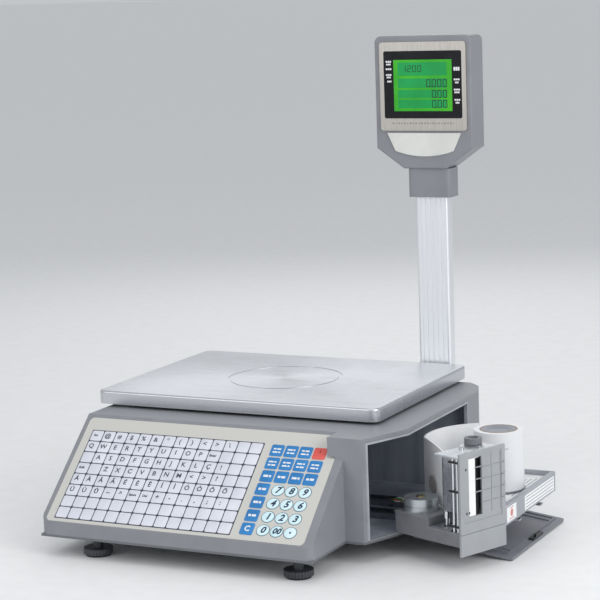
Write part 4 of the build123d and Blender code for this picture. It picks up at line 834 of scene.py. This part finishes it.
def on_tray(y, z, out=0.0):
    """A place on the tray's outer wall: back from its front end, up from its floor, in mm."""
    return onto((side_x + out * mm, tray_low.y + y * mm, tray_low.z + z * mm), (0, 1, 0), (0, 0, 1))


join(stickers, slab(31 * mm, 17.5 * mm, 0.15 * mm, 1.0 * mm), on_tray(19.5, 11.0))
join(stickers, slab(104 * mm, 17.5 * mm, 0.15 * mm, 1.0 * mm), on_tray(116.0, 11.0))
for step in range(4):
    join(ruled, slab(98 * mm, 0.9 * mm, 0.05 * mm), on_tray(116.0, 5.0 + 4.0 * step, 0.15))
join(stamped, oval(9 * mm, 9 * mm, 0.05 * mm, 0.0), on_tray(19.5, 11.5, 0.15))
join(stamped, slab(16 * mm, 1.0 * mm, 0.05 * mm), on_tray(19.5, 4.8, 0.15))
join(stamped, slab(12 * mm, 1.0 * mm, 0.05 * mm), on_tray(19.5, 17.6, 0.15))
floor_low = Vector((tray_low.x + 3 * mm, tray_low.y + 41 * mm, rim_z - 6.5 * mm))
floor_high = Vector((tray_high.x - 6.5 * mm, tray_high.y - 4 * mm, rim_z - 6.5 * mm))
card = slab(floor_high.x - floor_low.x, floor_high.y - floor_low.y, 0.8 * mm, 1.5 * mm, 0.1 * mm)
card_place = Matrix.Translation((floor_low + floor_high) / 2)
join(stickers, card, card_place)
for step in range(5):
    join(ruled, slab(1.4 * mm, (100 - 9 * step) * mm, 0.05 * mm),
         Matrix.Translation((floor_high.x - (5 + 5.5 * step) * mm, (floor_low.y + floor_high.y) / 2 + 4 * mm,
                             floor_high.z + 0.8 * mm)))
finish_piece("tray_stickers", stickers, paper, "drawer")
finish_piece("tray_sticker_lines", ruled, printing_ink("grey_rule_ink", "8F9299", "9DA0A6"), "drawer")
finish_piece("tray_sticker_stamp", stamped, printing_ink("faded_red_ink", "CC8078", "D89088"), "drawer")

# sensor disc on the paper guide's outer face
guide_out = Vector((-0.68, -0.733, 0))
disc = turned(((0.0, 0.0), (11.0, 0.0), (11.0, 1.2), (10.2, 1.8), (8.6, 1.8), (8.2, 1.3), (0.0, 1.3)), 48,
              closed=False)
disc_spot = Vector((roll_mid.x - 56.0 * mm, roll_mid.y - 68.0 * mm, 77 * mm)) + guide_out * 1.6 * mm
disc_place = onto(disc_spot, Vector((0, 0, 1)).cross(guide_out), (0, 0, 1))
bmesh.ops.transform(disc, matrix=disc_place, verts=disc.verts)
finish_piece("guide_disc", disc, moulded_nylon("disc_grey_abs", "8A8684", "9A9694", 0.4), "drawer")

# ---------------------------------------------------------------- Pole and display head
# A fluted aluminium extrusion, silver anodised, stands in a cast socket. The head is two grey ABS shells with
# a champagne trim plate, a black window over the display and a white lamp cover.


def anodised(name, dark, light, roughness=0.36):
    """Silver-anodised aluminium: satin, with the die lines of the extrusion 0.8 mm apart up its length."""
    material, tree, shader, at = new_finish(name, roughness, metallic=0.85)
    stretched = add(tree, "Mapping", {"Vector": at, "Scale": (1250.0, 1250.0, 8.0)})
    lines = add(tree, "TexNoise", {"Vector": stretched.outputs["Vector"], "Scale": 1.0, "Detail": 3.0})
    shade(tree, shader, lines.outputs["Fac"], dark, light, 0.3, 0.7)
    vary_gloss(tree, shader, lines.outputs["Fac"], roughness - 0.05, roughness + 0.06)
    raise_skin(tree, shader, lines.outputs["Fac"], 0.02 * mm, 0.3)
    return material


paint(anodised("silver_anodised_pole", "EEF0F4", "F6F7F9"), "pole")
paint(cast, "pole_bracket")
paint(moulded_nylon("head_grey_abs", "83858A", "898B90", 0.42), "display_front", "display_back")
paint(anodised("champagne_trim_plate", "C2BDB6", "CCC7C1", 0.3), "display_bezel")


def window_black(name):
    """Smoked acrylic printed black from behind: a hard gloss with faint hand marks."""
    material, tree, shader, at = new_finish(name, 0.08, ior=1.49)
    smear = add(tree, "TexNoise", {"Vector": at, "Scale": 1 / (22 * mm), "Detail": 4.0, "Distortion": 1.5})
    shade(tree, shader, smear.outputs["Fac"], "07080C", "0E1016", 0.3, 0.7)
    vary_gloss(tree, shader, smear.outputs["Fac"], 0.06, 0.16)
    return material


paint(window_black("smoked_acrylic_window"), "display_window")
paint(moulded_nylon("opal_lamp_cover", "D2D3CE", "DEDFDA", 0.35, 0.6), "display_lamp")
paint(black_nylon_and_shade, "lcd_panel")

window_low, window_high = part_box("display_window")
window_mid = (window_low + window_high) / 2


def on_window(x, z, out=0.0):
    """A place on the window's face: across and up from its middle, and out of it, in mm."""
    return onto((window_mid.x + x * mm, window_low.y - out * mm, window_mid.z + z * mm), (1, 0, 0), (0, 0, 1))


def lit_lcd(name, dark, light, glow):
    """A liquid crystal cell lit from behind: even light with a fine grid of dots 1 mm apart."""
    material, tree, shader, at = new_finish(name, 0.25, ior=1.5)
    dots = add(tree, "TexNoise", {"Vector": at, "Scale": 1 / (1.0 * mm), "Detail": 1.0})
    patches = add(tree, "TexNoise", {"Vector": at, "Scale": 1 / (30 * mm), "Detail": 2.0})
    both = add(tree, "Mix", {"Factor": 0.6, "A": dots.outputs["Fac"], "B": patches.outputs["Fac"]})
    ramp = shade(tree, shader, both.outputs["Result"], dark, light)
    tree.links.new(ramp.outputs["Color"], shader.inputs["Emission Color"])
    shader.inputs["Emission Strength"].default_value = glow
    return material


lcd_back = bmesh.new()
join(lcd_back, slab(81 * mm, 66 * mm, 0.1 * mm), on_window(-0.2, -0.8))
finish_piece("lcd_border", lcd_back, lit_lcd("lime_lcd_border", "259A1C", "3FB01A", 0.15), "root")
lcd_top = 32.2
lcd_rows = bmesh.new()
for low, high in ((3.3, 20.4), (24.0, 36.1), (38.6, 49.0), (51.2, 62.0)):
    join(lcd_rows, slab(68 * mm, (high - low) * mm, 0.08 * mm),
         on_window(-0.7, lcd_top - (low + high) / 2, 0.08))
finish_piece("lcd_rows", lcd_rows, lit_lcd("green_lcd_rows", "008A3E", "009A4A", 0.18), "root")


def segments(whole, pattern, wide, tall, stroke, place):
    """Adds a seven-segment figure; pattern names its lit bars from a to g."""
    half = tall / 2
    bars = {"a": (0, half, wide, stroke), "d": (0, -half, wide, stroke), "g": (0, 0, wide, stroke),
            "b": (wide / 2, half / 2, stroke, half), "c": (wide / 2, -half / 2, stroke, half),
            "e": (-wide / 2, -half / 2, stroke, half), "f": (-wide / 2, half / 2, stroke, half)}
    for bar in pattern:
        x, z, across, up = bars[bar]
        join(whole, slab(across * mm, up * mm, 0.06 * mm), place @ Matrix.Translation((x * mm, z * mm, 0)))


figures = bmesh.new()
figure_right, figure_pitch = 30.5, 7.6
for zeros, point, middle in ((4, 3, 30.2), (3, 2, 43.9), (3, 2, 56.7)):
    for number in range(zeros):
        segments(figures, "abcdef", 4.6, 9.0, 1.0,
                 on_window(figure_right - figure_pitch * number, lcd_top - middle, 0.16))
    join(figures, slab(1.2 * mm, 1.2 * mm, 0.06 * mm),
         on_window(figure_right - figure_pitch * (point - 0.5), lcd_top - middle - 4.6, 0.16))
for number, pattern in enumerate(("bc", "abged", "abcdef", "abcdef")):
    segments(figures, pattern, 4.2, 7.6, 0.9, on_window(-26.0 + 7.2 * number, lcd_top - 11.5, 0.16))
finish_piece("lcd_figures", figures, printing_ink("dark_lcd_figure", "052A22", "0A352B"), "root")

window_marks = bmesh.new()
mark_rows = [(-47.5, 30.0, 8.0, 2.2), (-47.5, 26.5, 6.5, 2.2), (-47.5, 20.5, 8.4, 2.2),
             (-47.5, 13.0, 8.0, 2.2), (-47.5, 9.8, 6.0, 2.2), (-46.8, 4.6, 6.2, 2.2),
             (47.0, 20.0, 8.6, 4.6), (47.0, 6.5, 8.4, 2.2), (47.0, 2.6, 5.0, 2.2), (47.0, -6.5, 8.8, 2.2),
             (47.0, -10.0, 7.4, 2.2), (47.4, -19.6, 8.0, 2.2), (47.4, -23.2, 5.4, 2.2)]
for x, z, wide, tall in mark_rows:
    for part in range(3):
        join(window_marks, slab(wide / 3.6 * mm, tall * mm, 0.06 * mm, 0.3 * mm),
             on_window(x + (part - 1) * wide / 3, z, 0.02))
finish_piece("window_marks", window_marks, white_ink, "root")

trim_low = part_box("display_bezel")[0]
trim_marks = bmesh.new()
for number in range(22):
    wide = (2.6, 1.4, 3.2, 2.0)[number % 4]
    spot = (window_mid.x + (-42 + 4.0 * number) * mm, trim_low.y - 0.01 * mm, window_low.z - 6.4 * mm)
    join(trim_marks, slab(wide * mm, 2.0 * mm, 0.05 * mm, 0.3 * mm), onto(spot, (1, 0, 0), (0, 0, 1)))
finish_piece("trim_marks", trim_marks, printing_ink("brown_grey_ink", "8E8882", "9A948E"), "root")

# ---------------------------------------------------------------- Screws
# Cross-head machine screws and socket bolts, bright zinc, in the base pan, the head's rear shell and the pole
# socket.

paint(zinc_plate, "body_screws")

# ---------------------------------------------------------------- Floor, light and camera
# A plain pale table top that runs on out of view, broad soft lamps as in a product studio, and the camera
# low in front of the scale's right-hand corner.


def matt_table(name):
    """Matt white laminate with a barely visible mottle."""
    material, tree, shader, at = new_finish(name, 0.7)
    mottle = add(tree, "TexNoise", {"Vector": at, "Scale": 40.0, "Detail": 2.0})
    shade(tree, shader, mottle.outputs["Fac"], "F2F2F2", "F5F5F5")
    return material


ground = bmesh.new()
bmesh.ops.create_grid(ground, x_segments=1, y_segments=1, size=80.0)
floor_mesh = bpy.data.meshes.new("table_top")
ground.to_mesh(floor_mesh)
ground.free()
floor_mesh.materials.append(matt_table("matt_white_laminate"))
floor = bpy.data.objects.new("table_top", floor_mesh)
scene.collection.objects.link(floor)
floor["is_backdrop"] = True

scene.view_settings.view_transform = "Standard"
world = bpy.data.worlds.new("studio")
scene.world = world
world.use_nodes = True
world.node_tree.nodes["Background"].inputs["Color"].default_value = linear("EEF1F5")
world.node_tree.nodes["Background"].inputs["Strength"].default_value = 0.64


def soft_lamp(name, spot, target, size, power):
    """A square soft box aimed at a point."""
    lamp = bpy.data.lights.new(name, "AREA")
    lamp.shape, lamp.size, lamp.energy = "SQUARE", size, power
    holder = bpy.data.objects.new(name, lamp)
    holder.location = spot
    holder.rotation_euler = (Vector(target) - Vector(spot)).to_track_quat("-Z", "Y").to_euler()
    scene.collection.objects.link(holder)


middle = (cad_low + cad_high) / 2
soft_lamp("overhead_box", middle + Vector((0.3, -0.3, 1.7)), middle, 1.6, 6.2)
soft_lamp("right_box", middle + Vector((1.7, -0.7, 0.7)), middle, 1.2, 15.0)
soft_lamp("front_box", middle + Vector((-0.9, -1.8, 0.9)), middle, 1.2, 7.2)
soft_lamp("rear_box", middle + Vector((-0.6, 1.7, 1.1)), middle, 1.4, 6.0)

platter_mid = sum(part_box("platter"), Vector()) / 2
yaw, pitch, roll = math.radians(26.41), math.radians(8.93), math.radians(-1.96)
ahead = Vector((-math.sin(yaw) * math.cos(pitch), math.cos(yaw) * math.cos(pitch), -math.sin(pitch)))
right = Vector((math.cos(yaw), math.sin(yaw), 0))
up = right.cross(ahead)
camera_x = right * math.cos(roll) + up * math.sin(roll)
camera_y = up * math.cos(roll) - right * math.sin(roll)
camera = bpy.data.objects.new("camera", bpy.data.cameras.new("camera"))
camera.data.lens, camera.data.sensor_width = 121.816, 36.0
camera.data.clip_start, camera.data.clip_end = 0.05, 200.0
camera_spot = Vector((platter_mid.x + 1.16018, platter_mid.y - 2.28520, 0.67146))
camera.matrix_world = (Matrix.Translation(camera_spot)
                       @ Matrix((camera_x, camera_y, -ahead)).transposed().to_4x4())
scene.collection.objects.link(camera)
scene.camera = camera

low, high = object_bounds()
